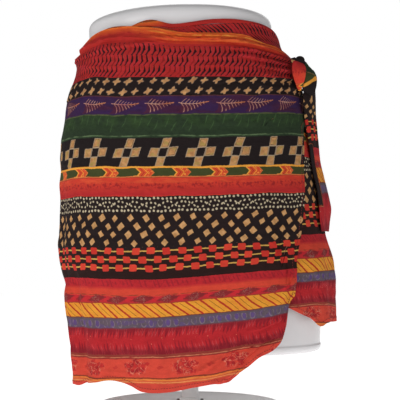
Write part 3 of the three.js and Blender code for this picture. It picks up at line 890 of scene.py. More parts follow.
class BandedPrint:
    """The print of the cloth, charted from plain bands and small repeated motifs."""

    SPAN = (-40, 470)  # t of the first band's start and of the last one's end
    STRETCH = 3.6  # of the streaky grain along the cloth
    STREAKY = 1.7  # lumps that are more than this many times as long as tall are stretched

    def __init__(self) -> None:
        """Build the node group."""
        self.tree, source, target = new_group("banded print", "Color", "NodeSocketColor")
        flat_s, flat_t = split_place(self.tree, source.outputs["Place"])
        place = join(flat_s, flat_t)
        wobble = self._parts(noise(place, 1 / 24, 0))
        fuzz = self._parts(noise(place, 1 / 2.4, 0))
        self.s = flat_s + wobble[0].spread(2.6) + fuzz[0].spread(0.8)
        self.t = flat_t + wobble[1].spread(2.2) + fuzz[1].spread(0.8)
        self.place = join(self.s, self.t)
        self.wide = join(self.s * (1 / self.STRETCH), self.t)
        self.colour = self._ground()
        for layer in (
            self.border,
            self.herringbone,
            self.stars,
            self.ferns,
            self.green_band,
            self.crosses,
            self.chevrons,
            self.red_fade,
            self.dots,
            self.diamonds,
            self.beads,
            self.tick_row,
            self.darts,
            self.slants,
            self.ovals,
            self.grass,
            self.flowers,
            self.hem_lines,
            self.mottle,
        ):
            layer()
        self.tree.links.new(self.colour, target.inputs["Color"])

    def grain(self, size: tuple[float, float], detail: float = 1) -> Wire:
        """Soft random numbers over the cloth, from about 0.2 to 0.8.

        Args:
            size: Size of its lumps along s and along t in millimetres.
            detail: How many finer noises lie on the first.

        Returns:
            The noise.
        """
        streaky = size[0] > self.STREAKY * size[1]
        return Wire(self.tree, noise(self.wide if streaky else self.place, 1 / size[1], detail).outputs[0])

    def _parts(self, node: Node) -> list[Wire]:
        """The three numbers of a noise texture's colour."""
        parts = self.tree.nodes.new("ShaderNodeSeparateColor")
        self.tree.links.new(node.outputs["Color"], parts.inputs[0])
        return [Wire(self.tree, socket) for socket in parts.outputs]

    def _ground(self) -> NodeSocket:
        """The plain bands."""
        start, end = self.SPAN
        share = self.t.scaled(1 / (end - start), -start / (end - start))
        node = self.tree.nodes.new("ShaderNodeValToRGB")
        ramp = node.color_ramp
        ramp.interpolation = "CONSTANT"
        while len(ramp.elements) < len(Ground):
            ramp.elements.new(1)
        for number, band in enumerate(Ground):
            ramp.elements[number].position = (band.value[0] - start) / (end - start)
            ramp.elements[number].color = linear(band.value[1])
        self.tree.links.new(share.socket, node.inputs["Fac"])
        return node.outputs["Color"]

    def _lay(self, mask: Wire, colour: Colour | NodeSocket) -> None:
        """Lay a colour over what is there, where the mask is 1."""
        self.colour = mixed(self.tree, mask.socket, self.colour, colour)

    def _blend(self, share: Wire, first: Colour, second: Colour) -> NodeSocket:
        """A colour between two."""
        return mixed(self.tree, share.socket, first, second)

    def line(self, at: float, half: float, soft: float = 0.4) -> Wire:
        """A line along the cloth, given by its t, half its width and how soft its edges are."""
        return abs(self.t - at).under(half, soft)

    def border(self) -> None:
        """Orange cloth with yellow streaks and thin lines along the waist edge, plainer at its left, and a
        dark line of painted shade on the waist edge itself.
        """
        right = self.s.over(-35, 60)
        streak = self.line(5, 0.9, 0.9)
        patchy = self.grain((16, 3), 2).over(0.46, 0.16)
        self._lay(streak * patchy * right, (236, 148, 62))
        self._lay(self.line(1, 1.2, 1.2) * patchy, (230, 116, 50))
        self._lay(self.line(12, 1.4, 1.2) * right, (222, 100, 50))
        dark = self.grain((9, 2), 2).over(0.6, 0.1)
        self._lay(dark * self.line(8.6, 1.4, 1), (156, 44, 34))
        share = self.t.ramp(2.8, 9.8)
        self._lay(share * (1 - right) * self.t.under(21), (178, 44, 40))
        # Painted shade: a dark brown line right on the waist edge, where the cloth turns in over the form's
        # top.
        self._lay(self.t.between(-2, 0.8) * 0.8, (120, 62, 36))

    def herringbone(self) -> None:
        """Rows of slanting ticks that turn back at every row."""
        top, row_tall, pitch = 21.6, 13, 6.1
        row = (self.t - top) * (1 / row_tall)
        share = row.maths("FRACT")
        row = row.maths("FLOOR")
        bend = share.maths("SUBTRACT", 0.52).most(0)
        moved = self.s + (row + bend * 2.08) * 5 + share * 0.8
        own = moved.cell(pitch).dice(row, 5)
        u = moved.wrapped(pitch) + own.spread(0.9)
        drop = share.least(0.5).maths("POWER", 1.6) * 3
        neck = share.ramp(0.55, 0.75)
        heavy = self.grain((26, 10))
        width = drop.least(0.98) * (1 - neck * 0.34) + heavy.scaled(2.6, -0.85)
        window = self.t.between(20.6, 60.8)
        mask = (abs(u) - width.most(0.22)).under(0, 0.9) * window
        worn = heavy.over(0.3, 0.14) * own.over(0.05, 0.1)
        self._lay(mask * worn.most(0.35), self._blend(neck, (36, 20, 26), (72, 28, 34)))
        glint = abs(u - 1.7).under(0.32, 0.4) * share.under(0.52) * window
        self._lay(glint * own.over(0.5, 0.2) * 0.5, (138, 84, 66))
        pink = self.grain((26, 7), 2).over(0.54, 0.2)
        self._lay(pink * window * (1 - mask) * 0.35, (198, 48, 62))

    def stars(self) -> None:
        """Two rows of leaning four-armed stars on a dark band."""
        pitch, row_tall = 15.4, 12.6
        t = self.t - 66.6
        row = t.cell(row_tall)
        v = t.wrapped(row_tall)
        s = self.s - row * 7.4 - 11
        own = s.cell(pitch).dice(row, 12)
        turn = (own - 0.5) * 0.5
        u = s.wrapped(pitch) + own.spread(2.2)
        v = v + own.dice(0, 13).spread(1.4)
        a = u + v * 0.34 + v * turn
        b = v + u * 0.2 - u * turn
        grown = own.dice(0, 14).scaled(0.3, 0.85)
        aa, bb = a * a, b * b
        flat = aa * (1 / 23) + bb * (1 / 2.9)
        tall = aa * (1 / 3.2) + bb * (1 / 17)
        spread = flat.least(tall).maths("SQRT") - grown + self.grain((3, 3)).spread(0.5)
        window = self.t.between(61.9, 83.6)
        shade = self.grain((9, 9)).over(0.5, 0.3)
        self._lay(spread.under(0.06, 0.2) * window, (140, 116, 98))
        self._lay(spread.under(-0.12, 0.2) * window, self._blend(shade, (178, 128, 84), (204, 154, 102)))

    def ferns(self) -> None:
        """Lying fern leaves on a purple band, with small marks between them."""
        pitch = 43
        s = self.s - 54
        own = s.cell(pitch).dice(0, 16)
        u = s.wrapped(pitch) + own.spread(5)
        v = self.t - 94.6 + u * u * 0.006 + (own - 0.5) * 1.4
        side = abs(v)
        m = u - side * (0.86 - v * 0.045) + side * side * 0.02
        reach = u * (-0.29) + 5.6 + v * 0.16
        leaf = (side - reach).under(0, 1.2)
        window = self.t.between(84.8, 106)
        stain = self.grain((22, 12))
        self._lay(stain.over(0.56, 0.14) * window * 0.7, (58, 35, 78))
        self._lay(stain.under(0.42, 0.14) * window * 0.6, (74, 32, 52))
        self._lay(leaf * (m + side * 0.4).over(-15.5, 1) * v.over(0) * window * 0.7, (82, 36, 54))
        barbs = abs((m + own * 3).wrapped(4.3)).under(0.36, 0.6) * leaf * m.over(-16)
        rib = side.under(0.4, 0.6) * u.between(-17, 19)
        shade = self.grain((12, 6)).over(0.5, 0.3)
        mask = barbs.most(rib) * window
        worn = self.grain((6, 6)).over(0.32, 0.2)
        self._lay(mask * worn, self._blend(shade, (176, 112, 104), (212, 160, 136)))
        self._lay(rib * u.over(6, 4) * window, (188, 110, 62))
        self._lay(self.line(85, 0.6) * worn * 0.7, (104, 56, 58))

    def green_band(self) -> None:
        """Faint streaks across a green band, and a lighter line along either edge."""
        window = self.t.between(107.4, 133.4)
        broad = self.grain((20, 14), 2).over(0.5, 0.3)
        self._lay(broad * window * self.t.under(122, 12) * 0.8, (54, 76, 42))
        pitch = 11
        x = self.s + self.t * 0.42 + self.grain((20, 20)) * 9
        own = x.cell(pitch).dice(0, 21)
        line = abs(x.wrapped(pitch) + own.spread(5)).under(0.35, 0.7)
        part = abs(self.t - 111 - own * 12).under(5, 3)
        self._lay(line * part * window * 0.8, (76, 104, 62))
        dark = self.grain((5, 4), 2).over(0.58, 0.2)
        self._lay(dark * window * 0.35, (34, 44, 32))
        pale = self.grain((9, 3)).over(0.42, 0.2)
        self._lay(self.line(133, 0.7) * pale, (92, 112, 78))
        self._lay(self.line(107.8, 0.8) * pale, (86, 92, 58))

    def crosses(self) -> None:
        """Large stepped crosses with a pale outline, each built up of five blocks."""
        pitch = 44.4
        y = self.t - 152.6
        s = self.s - 17.5
        own = s.cell(pitch).dice(0, 27)
        u = s.wrapped(pitch) + y * own.scaled(0.12, 0.29) + own.spread(1.6)
        across = abs(abs(u) - 11)
        up = abs(abs(y) - 11.2)
        arms = (across - 5.4).most(abs(y + u * 0.04) - 5.5)
        post = (abs(u) - 5.1).most(up - 5.6)
        d = arms.least(post)
        window = self.t.between(134.6, 169.8)
        self._lay(d.under(0, 0.5) * window, (164, 146, 122))
        fill = self.grain((7, 5)).over(0.5, 0.3)
        self._lay(d.under(-0.7, 0.5) * window, self._blend(fill, (178, 126, 80), (200, 150, 98)))
        olive = self.grain((9, 7)).over(0.58, 0.12)
        self._lay(d.under(-1, 0.4) * olive * window * 0.8, (166, 142, 78))
        worn = self.grain((5, 5)).over(0.5, 0.16)
        inner = abs(d + 1.5).under(0.3) * worn * (u * 0.7 - y).over(2, 6)
        self._lay(inner * window, (74, 58, 52))
        centre = abs((abs(u) - 5).most(abs(y) - 5.4)).under(0.35)
        self._lay(centre * window, (176, 152, 124))

    def chevrons(self) -> None:
        """A run of flat arrow shapes along an olive band, between two pale lines."""
        y = self.t - 176.8
        u = (self.s + abs(y) * 0.95 - 4).wrapped(44.4)
        window = self.t.between(171.2, 182.2)
        self._lay(self.t.between(170, 182.2), (66, 70, 38))
        self._lay(abs(u + 8.5).under(8.5) * window, (212, 78, 46))
        self._lay(abs(u + 16.6).under(1.05) * window, (236, 160, 62))
        self._lay(abs(u + 8).under(0.7) * window, (236, 150, 58))
        self._lay(abs(u + 12).under(0.5) * window, (160, 50, 36))
        fleck = self.grain((2.6, 2.2)).over(0.58, 0.08) * abs(u + 4).under(3.6)
        self._lay(fleck * window, (238, 148, 66))
        self._lay(abs(u + 0.3).under(0.5) * window, (214, 116, 60))
        foot = self.line(181.6, 0.7) * (u + 26).between(-4, 12)
        self._lay(foot, (226, 150, 70))
        edge = self.grain((10, 3)).spread(0.5)
        self._lay(abs(self.t - 170.6 + edge).under(1.15), (234, 160, 62))
        self._lay(self.line(182.2, 0.55), (220, 116, 66))

    def red_fade(self) -> None:
        """A red band that darkens downwards, with scribbles along its middle."""
        share = self.t.ramp(188, 204)
        self._lay(self.t.between(182.6, 204.2) * share, (176, 40, 44))
        blot = self.grain((5.2, 3.8), 2).over(0.54, 0.1) * self.line(192.6, 3.6, 3)
        self._lay(blot * 0.75, (142, 32, 38))
        warm = self.grain((26, 5)).over(0.54, 0.2)
        self._lay(warm * self.t.between(184, 190) * 0.6, (222, 88, 54))

    def dots(self) -> None:
        """Two straight and two wavy rows of pale dots on a dark band."""
        pitch, straight, wavy = 5.1, 1.4, 1.2  # of the dots, and their radius in either kind of row
        wave = (self.s * (math.tau / 38)).maths("SINE") * 3.3
        middle = self.t - 214.8
        rows = (
            (self.t - 207.3, 41, straight),
            (self.t - 222.3, 42, straight),
            (middle - wave, 43, wavy),
            (middle + wave, 44, wavy),
        )
        for row, seed, radius in rows:
            s = self.s + seed * 1.7
            own = s.cell(pitch).dice(0, seed)
            u = s.wrapped(pitch) + own.spread(1.4)
            v = row + own.dice(0, 45).spread(1.5)
            self._lay(distance(u, v).under(radius, 0.6), (200, 184, 154))

    def diamonds(self) -> None:
        """Rows of small leaning diamonds on the dark band."""
        pitch, row_tall = 19, 9.85
        t = self.t - 230.4
        row = t.cell(row_tall)
        v = t.wrapped(row_tall)
        s = self.s - row * 7.6 - 1
        own = s.cell(pitch).dice(row, 51)
        other = own.dice(0, 52)
        u = s.wrapped(pitch) + own.spread(2.4) + v * other.scaled(0.5, 0.05)
        v = v + other.spread(1.2) + u * own.scaled(0.3, -0.25)
        size = own.dice(0, 53).scaled(0.24, 0.9)
        mask = (abs(u) * (1 / 4.5) + abs(v) * (1 / 4.7) - size).under(0, 0.14)
        window = self.t.between(225.4, 265)
        shade = self.grain((6, 5)).over(0.5, 0.3)
        self._lay(mask * window, self._blend(shade, (186, 136, 86), (208, 160, 108)))

    def beads(self) -> None:
        """Rows of rounded red boxes strung on yellow lines."""
        pitch, row_tall = 18.6, 9.9
        t = self.t - 269.9
        row = t.cell(row_tall)
        v = t.wrapped(row_tall)
        s = self.s - row * 6.3 - 3.2
        own = s.cell(pitch).dice(row, 61)
        other = own.dice(0, 62)
        window = self.t.between(265.2, 294.2)
        sway = self.grain((20, 20)).spread(2)
        self._lay(abs(v + sway).under(0.8) * window, (208, 162, 82))
        u = s.wrapped(pitch) + own.spread(2.6) + v * other.scaled(0.3, 0)
        v = v + other.spread(1)
        across, down = (abs(u) - 3.1).most(0), (abs(v) - 2.2).most(0)
        box = distance(across, down).under(1.7) * window
        self._lay(box, self._blend(other, (196, 50, 42), (216, 68, 50)))

    def tick_row(self) -> None:
        """A row of short dark ticks on red, over an orange-red band."""
        pitch = 5.6
        x = self.s - self.t * 0.3
        own = x.cell(pitch).dice(0, 71)
        u = x.wrapped(pitch) + own.spread(2.4)
        tall = (abs(self.t - 307.4) - own * 4.4).under(0, 1.6)
        stroke = abs(u).under(0.9, 0.8) * tall * own.over(0.3, 0.1)
        self._lay(stroke * 0.7, (140, 32, 44))
        blot = self.grain((4, 3.4), 2).over(0.58, 0.1) * self.t.between(303, 311.5, 1)
        self._lay(blot * 0.6, (150, 34, 42))
        self._lay(self.t.ramp(311.5, 315.5) * self.t.between(300, 320.8), (212, 70, 52))

    def darts(self) -> None:
        """Long flat diamonds and squiggles between them."""
        pitch = 32
        x = self.s + 38
        own = x.cell(pitch).dice(0, 81)
        u = x.wrapped(pitch) + own.spread(3)
        y = self.t - 325.8 + u * 0.13
        ragged = self.grain((3, 2.2)).spread(0.7)
        body = (abs(u) * (1 / 16) + abs(y) * (1 / 4.8) + ragged).under(1, 0.2)
        self._lay(body, (136, 42, 46))
        tangle = self.grain((3.4, 2.6))
        line = abs(tangle - 0.5).under(0.024, 0.03) * abs(u + 2).under(5.5, 3)
        self._lay(line * body * 0.8, (160, 112, 100))
        bright = abs(abs(u) - pitch / 2).under(5, 3) * self.line(325.6, 3, 1)
        self._lay(bright * (1 - body) * 0.8, (206, 44, 52))
        self._lay(self.line(321.3, 0.5) * self.grain((9, 3)).over(0.5, 0.2), (120, 60, 40))

    def slants(self) -> None:
        """Slanting red strokes on yellow, with thinner ones half way between."""
        pitch = 17.8
        y = self.t - 339.5
        x = self.s + 25.5 - y * 1.15
        own = x.cell(pitch).dice(0, 84)
        u = x.wrapped(pitch) + own.spread(1.6)
        window = self.t.between(330.9, 348.2)
        glow = self.grain((30, 8)).over(0.5, 0.3)
        self._lay(glow * window * 0.5, (232, 166, 56))
        self._lay((abs(u) - own * 0.4).under(1.3, 0.6) * window, (182, 52, 38))
        between = abs((x + pitch / 2).wrapped(pitch)).under(0.55) * abs(y).under(7.2)
        self._lay(between * window, (156, 98, 38))
        self._lay(abs(abs(y) - 8.7).under(0.5), (156, 58, 42))

    def ovals(self) -> None:
        """A chain of upright oval rings on greyish purple."""
        pitch = 10.4
        v = (self.t - 354.8) * (1 / 4.6)
        own = self.s.cell(pitch).dice(0, 91)
        u = (self.s.wrapped(pitch) + own.spread(2.6)) * (1 / 3)
        window = self.t.between(348.9, 360.8)
        blot = self.grain((9, 7)).over(0.54, 0.1)
        self._lay(blot * window * 0.55, (96, 74, 124))
        off = distance(u, v)
        self._lay(off.under(0.8, 0.3) * window * own.over(0.45, 0.1) * 0.7, (98, 72, 132))
        worn = self.grain((7, 5)).over(0.48, 0.2)
        self._lay(abs(off - 1).under(0.16, 0.2) * window * worn * 0.7, (140, 122, 132))
        self._lay(self.line(349.6, 1.5), (98, 84, 94))
        self._lay(self.line(348.2, 0.5), (116, 62, 50))
        self._lay(self.line(360.7, 0.5) * 0.8, (96, 56, 66))

    def grass(self) -> None:
        """Hanging and standing dark strokes with pale tips on red, and specks between them."""
        self._lay(self.t.between(364, 386, 8), (184, 40, 46))
        pitch = 4.1
        hanging = (101, 0.3, (self.t - 363) * (1 / 11), self.t.over(361.4))
        standing = (102, -0.2, (393 - self.t) * (1 / 17), self.t.under(392.6))
        for seed, lean, depth, window in (hanging, standing):
            x = self.s + self.t * lean
            own = x.cell(pitch).dice(0, seed)
            u = abs(x.wrapped(pitch) + own.spread(1))
            tooth = (depth + u * 0.4 + own * 0.45).under(1.1, 0.16)
            self._lay(tooth * window * 0.85, (134, 30, 42))
            tip = abs(depth + u * 0.5 - 1.05 + own * 0.5).under(0.12, 0.14) * own.over(0.55, 0.1)
            self._lay(tip * window * 0.75, (216, 84, 88))
        specks = self.grain((2.2, 2.2), 0).over(0.8, 0.05)
        self._lay(specks * self.t.between(368, 381), (224, 120, 100))
        self._lay(self.t.between(387, 393, 4) * 0.7, (136, 34, 44))
        self._lay(self.t.between(361, 364.5, 2) * 0.5, (140, 34, 44))

    def flowers(self) -> None:
        """Ragged flowers and buds along the lowest broad band, under two thin lines."""
        self._lay(self.line(393.6, 0.8), (140, 62, 50))
        self._lay(self.line(396.1, 0.6) * self.grain((16, 3)).over(0.42, 0.2), (196, 124, 90))
        pitch = 60.8
        x = self.s + 83
        own = x.cell(pitch).dice(0, 110)
        u = x.wrapped(pitch) + own.spread(4)
        v = self.t - 408.4
        rough = self.grain((6, 6), 2)
        angle = (u * 0.66).maths("ARCTAN2", v)
        radius = (u * u * 0.4 + v * v).maths("SQRT")
        petals = (angle * 5 + own * 4).maths("COSINE") * 1.8 + rough.spread(10)
        bloom = (radius - petals).under(8.6, 1.6)
        window = self.t.between(397.8, 420.4, 1)
        self._lay(bloom * window * rough.over(0.4, 0.2) * 0.9, (188, 46, 46))
        deep = self.grain((5.6, 5.6)).over(0.54, 0.1)
        self._lay(bloom * deep * window * 0.8, (156, 36, 42))
        scribble = abs(self.grain((6.4, 6.4)) - 0.5).under(0.014, 0.03)
        self._lay(scribble * radius.under(10, 3) * window * 0.75, (222, 138, 112))
        beside = (self.s + 53).wrapped(pitch)
        bud = abs(beside + v * 0.5) * (1 / 4.5) + abs(v) * (1 / 2.6) + rough.spread(1.4)
        self._lay(bud.under(1, 0.4) * window * 0.6, (184, 48, 46))

    def hem_lines(self) -> None:
        """Thin lines just above the hem."""
        self._lay(self.line(421.5, 0.75), (134, 60, 42))
        worn = self.grain((14, 3)).over(0.34, 0.3)
        self._lay(self.line(423.6, 0.8, 0.8) * worn, (228, 134, 62))
        self._lay(self.line(426.6, 0.5, 0.6), (232, 150, 92))

    def mottle(self) -> None:
        """Uneven dye: slightly lighter and darker all over."""
        light = self.grain((13, 9), 3).scaled(0.34, 0.83)
        thread = self.grain((0.9, 0.7), 0).scaled(0.3, 0.85)
        node = self.tree.nodes.new("ShaderNodeVectorMath")
        node.operation = "SCALE"
        self.tree.links.new(self.colour, node.inputs[0])
        self.tree.links.new((light * thread).socket, node.inputs["Scale"])
        self.colour = node.outputs[0]


# ---------------------------------------------------------------- relief and finishes


def weave_group() -> NodeTree:
    """Plain weave of fine threads, as a height."""
    tree, source, target = new_group("plain weave", "Height", "NodeSocketFloat")
    s, t = split_place(tree, source.outputs["Place"])
    turns = math.tau / 0.9  # a pair of threads every 0.9 mm
    across, down = (s * turns).maths("SINE"), (t * turns).maths("SINE")
    uneven = Wire(tree, noise(join(s * 0.2, t), 2.0).outputs[0])
    height = (across * down).scaled(0.5, uneven)
    tree.links.new(height.socket, target.inputs["Height"])
    return tree


def crinkle_group() -> NodeTree:
    """Fine crinkles of worn cotton, as a height."""
    tree, source, target = new_group("crinkle", "Height", "NodeSocketFloat")
    s, t = split_place(tree, source.outputs["Place"])
    bend = Wire(tree, noise(join(s, t), 1 / 40).outputs[0])
    broad = abs(Wire(tree, noise(join(s * 0.55 + bend * 12.0, t), 1 / 13, 2.0).outputs[0]) - 0.5)
    fine = Wire(tree, noise(join(s * 0.65, t), 1 / 3.2, 3.0).outputs[0])
    height = broad.scaled(-2.2, fine * 0.45)
    tree.links.new(height.socket, target.inputs["Height"])
    return tree


def orange_peel_group() -> NodeTree:
    """Very shallow waviness of a moulded glossy surface, as a height."""
    tree, source, target = new_group("moulded skin", "Height", "NodeSocketFloat")
    node = noise(source.outputs["Place"], 34.0, 2.0)
    tree.links.new(node.outputs[0], target.inputs["Height"])
    return tree


@dataclass(frozen=True)
class HardFinish:
    """A smooth coated finish."""

    name: str
    colour: Colour
    roughness: float
    coat: float = 0.0
    metallic: float = 0.0
    bump: float = 0.0

    COAT_ROUGHNESS = 0.08
    DARKER = 0.985  # how much darker the colour gets in places
    SKIN_DEPTH = 0.001

    def build(self, skin: NodeTree | None = None) -> Material:
        """Make the material.

        Args:
            skin: The node group of its relief, for a finish with some.

        Returns:
            The material.
        """
        material, shader = blank_material(self.name)
        tree = material.node_tree
        place = tree.nodes.new("ShaderNodeTexCoord").outputs["Object"]
        set_inputs(shader, {"Roughness": self.roughness, "Metallic": self.metallic})
        set_inputs(shader, {"Coat Weight": self.coat, "Coat Roughness": self.COAT_ROUGHNESS})
        darker = tuple(c * self.DARKER for c in self.colour)
        colour = mixed(tree, noise(place, 9.0, 3.0).outputs[0], darker, self.colour)
        tree.links.new(colour, shader.inputs["Base Color"])
        if skin is not None:
            normal = bumped(tree, use_group(tree, skin, place), self.SKIN_DEPTH, self.bump)
            tree.links.new(normal, shader.inputs["Normal"])
        return material


def blank_material(name: str) -> tuple[Material, Node]:
    """Make a material with only its shader, and give both."""
    material = bpy.data.materials.new(name)
    material.use_nodes = True
    tree = material.node_tree
    tree.nodes.clear()
    shader = tree.nodes.new("ShaderNodeBsdfPrincipled")
    output = tree.nodes.new("ShaderNodeOutputMaterial")
    tree.links.new(shader.outputs[0], output.inputs["Surface"])
    return material, shader


@dataclass(frozen=True)
class ClothFinish:
    """A side of the printed cloth."""

    name: str
    fade: float  # 0 for the right side, 1 for plain pale cloth
    pale: Colour = (168, 118, 96)
    roughness: float = 0.86
    sheen: float = 0.0
    weave_depth: float = 0.00012
    crinkle_depth: float = 0.0009

    SPECULAR = 0.12
    SHEEN_ROUGHNESS = 0.5

    def build(
        self, print_tree: NodeTree, weave: NodeTree, crinkle: NodeTree
    ) -> Material:
        """Make the material.

        Args:
            print_tree: The node group of the print.
            weave: The node group of the threads.
            crinkle: The node group of the crinkles.

        Returns:
            The material.
        """
        material, shader = blank_material(self.name)
        tree = material.node_tree
        source = tree.nodes.new("ShaderNodeUVMap")
        source.uv_map = CLOTH_UV
        place = source.outputs["UV"]
        colour = use_group(tree, print_tree, place)
        if self.fade:
            colour = mixed(tree, self.fade, colour, self.pale)
        tree.links.new(colour, shader.inputs["Base Color"])
        set_inputs(shader, {"Roughness": self.roughness, "Specular IOR Level": self.SPECULAR})
        set_inputs(shader, {"Sheen Weight": self.sheen, "Sheen Roughness": self.SHEEN_ROUGHNESS})
        normal = bumped(tree, use_group(tree, crinkle, place), self.crinkle_depth)
        normal = bumped(tree, use_group(tree, weave, place), self.weave_depth, under=normal)
        tree.links.new(normal, shader.inputs["Normal"])
        return material


class Finishes:
    """All materials of the object."""

    def __init__(self) -> None:
        """Make them."""
        groups = BandedPrint().tree, weave_group(), crinkle_group()
        self.cloth = ClothFinish("printed_cotton", fade=0.0).build(*groups)
        self.tie = ClothFinish("printed_cotton_tie", fade=0.0, crinkle_depth=0.0006).build(*groups)
        self.wrong_side = ClothFinish("printed_cotton_wrong_side", fade=0.45).build(*groups)
        self.thread = HardFinish("sewing_thread", (120, 40, 36), 0.8).build()
        skin = orange_peel_group()
        self.form = HardFinish("glossy_shell", (230, 228, 229), 0.4, coat=0.35, bump=0.12).build(skin)
        self.metal = HardFinish("fitting", (104, 102, 102), 0.35, metallic=0.6).build()
        self.stand = HardFinish("powder_coat", (240, 240, 239), 0.5).build()


# ---------------------------------------------------------------- meshes


def make_object(
    name: str,
    points: np.ndarray,
    faces: Sequence[Sequence[int]],
    materials: Sequence[Material],
    place: np.ndarray | None = None,
    numbers: Sequence[int] | None = None,
    sharp: float = 50.0,
) -> Object:
    """Make an object from points and faces and put it in the scene.

    Args:
        name: The object's name.
        points: One row of x, y and z in millimetres for each point.
        faces: Point numbers of each face, anticlockwise seen from outside.
        materials: The object's materials.
        place: Each point's s and t on the flat cloth in millimetres, for cloth.
        numbers: Which material each face has; the first one where left out.
        sharp: Edges that turn by more degrees than this stay sharp.

    Returns:
        The new object.
    """
    mesh = bpy.data.meshes.new(name)
    mesh.from_pydata((points * MM).tolist(), [], faces)
    for material in materials:
        mesh.materials.append(material)
    if numbers is not None:
        mesh.polygons.foreach_set("material_index", numbers)
    if place is not None:
        corners = np.empty(len(mesh.loops), dtype=np.int32)
        mesh.loops.foreach_get("vertex_index", corners)
        layer = mesh.uv_layers.new(name=CLOTH_UV)
        layer.data.foreach_set("uv", (place[corners] * MM).astype(np.float32).ravel())
    mesh.shade_smooth()
    mesh.set_sharp_from_angle(angle=math.radians(sharp))
    mesh.update()
    made = bpy.data.objects.new(name, mesh)
    bpy.context.scene.collection.objects.link(made)
    return made


def grid_normals(grid: np.ndarray) -> np.ndarray:
    """Outward unit normals of a grid whose rows run down and whose columns run towards rising wrap angle."""
    down, onward = np.gradient(grid, axis=0), np.gradient(grid, axis=1)
    out = np.cross(down, onward)
    return out / np.linalg.norm(out, axis=2, keepdims=True)


def distance_to_end(grid: np.ndarray, axis: int) -> np.ndarray:
    """Length along a grid from each point to the grid's last row (axis 0) or last column (axis 1)."""
    steps = np.linalg.norm(np.diff(grid, axis=axis), axis=2)
    length = np.flip(np.cumsum(np.flip(steps, axis), axis=axis), axis)
    end = np.zeros((1, grid.shape[1])) if axis == 0 else np.zeros((grid.shape[0], 1))
    return np.concatenate([length, end], axis=axis)


def closed_shell(outer: np.ndarray, inner: np.ndarray) -> tuple[np.ndarray, Faces, list[int]]:
    """Join two grids of the same size into one closed wall.

    Args:
        outer: Grid of the wall's outer surface.
        inner: Grid of its inner surface.

    Returns:
        The points, the faces, and for each face 0 outside and on the rim and 1 inside.
    """
    rows, columns = outer.shape[:2]
    number = np.arange(rows * columns).reshape(rows, columns)
    back = number + rows * columns

    def quads(a: np.ndarray, b: np.ndarray, c: np.ndarray, d: np.ndarray) -> Faces:
        return np.stack([a.ravel(), b.ravel(), c.ravel(), d.ravel()], axis=1).tolist()

    front_faces = quads(number[:-1, :-1], number[1:, :-1], number[1:, 1:], number[:-1, 1:])
    back_faces = quads(back[:-1, :-1], back[:-1, 1:], back[1:, 1:], back[1:, :-1])
    rim = quads(number[:-1, 0], back[:-1, 0], back[1:, 0], number[1:, 0])
    rim += quads(number[:-1, -1], number[1:, -1], back[1:, -1], back[:-1, -1])
    rim += quads(number[0, :-1], number[0, 1:], back[0, 1:], back[0, :-1])
    rim += quads(number[-1, :-1], back[-1, :-1], back[-1, 1:], number[-1, 1:])
    points = np.concatenate([outer.reshape(-1, 3), inner.reshape(-1, 3)])
    numbers = [0] * len(front_faces) + [1] * len(back_faces) + [0] * len(rim)
    return points, front_faces + back_faces + rim, numbers


def closed_rings(rings: np.ndarray) -> Part:
    """Join rings into a closed solid with a fan at either end.

    Args:
        rings: Points as ring, place in the ring, xyz. They run anticlockwise, seen from the last ring.

    Returns:
        The points and the faces. The last two points are the centres of the first and of the last ring.
    """
    steps, count = rings.shape[:2]
    number = np.arange(steps * count).reshape(steps, count)
    onward = np.roll(number, -1, axis=1)
    sides = np.stack([number[:-1], onward[:-1], onward[1:], number[1:]], axis=2).reshape(-1, 4).tolist()
    start, end = steps * count, steps * count + 1
    sides += [[start, int(b), int(a)] for a, b in zip(number[0], onward[0])]
    sides += [[end, int(a), int(b)] for a, b in zip(number[-1], onward[-1])]
    centres = np.stack([rings[0].mean(axis=0), rings[-1].mean(axis=0)])
    return np.concatenate([rings.reshape(-1, 3), centres]), sides


def turned(profile: Profile, sides: int) -> np.ndarray:
    """Rings of a piece turned about the z axis, from a profile of (radius, height) that runs upwards."""
    angle = np.linspace(0, 2 * np.pi, sides, endpoint=False)
    circle = np.stack([np.cos(angle), np.sin(angle)], axis=1)
    rings = [np.column_stack([radius * circle, np.full(sides, height)]) for radius, height in profile]
    return np.array(rings)


def rounded_profile(
    radius: float, bottom: float, top: float, edge: float, steps: int = 5
) -> Profile:
    """Profile of a disc or rod with rounded edges.

    Args:
        radius: Its radius.
        bottom: Height of its lower face.
        top: Height of its upper face.
        edge: Radius of its edges.
        steps: Number of steps round each edge.

    Returns:
        Its (radius, height) pairs, from the bottom to the top.
    """
    turns = [math.pi / 2 * step / steps for step in range(steps + 1)]
    lower = [(radius - edge * (1 - math.sin(a)), bottom + edge * (1 - math.cos(a))) for a in turns]
    upper = [(radius - edge * (1 - math.cos(a)), top - edge * (1 - math.sin(a))) for a in turns]
    return lower + upper


def join_parts(parts: Sequence[Part]) -> Part:
    """Put many small pieces into one list of points and faces."""
    points, faces, used = [], [], 0
    for own_points, own_faces in parts:
        faces += [[number + used for number in face] for face in own_faces]
        points.append(own_points)
        used += len(own_points)
    return np.concatenate(points), faces


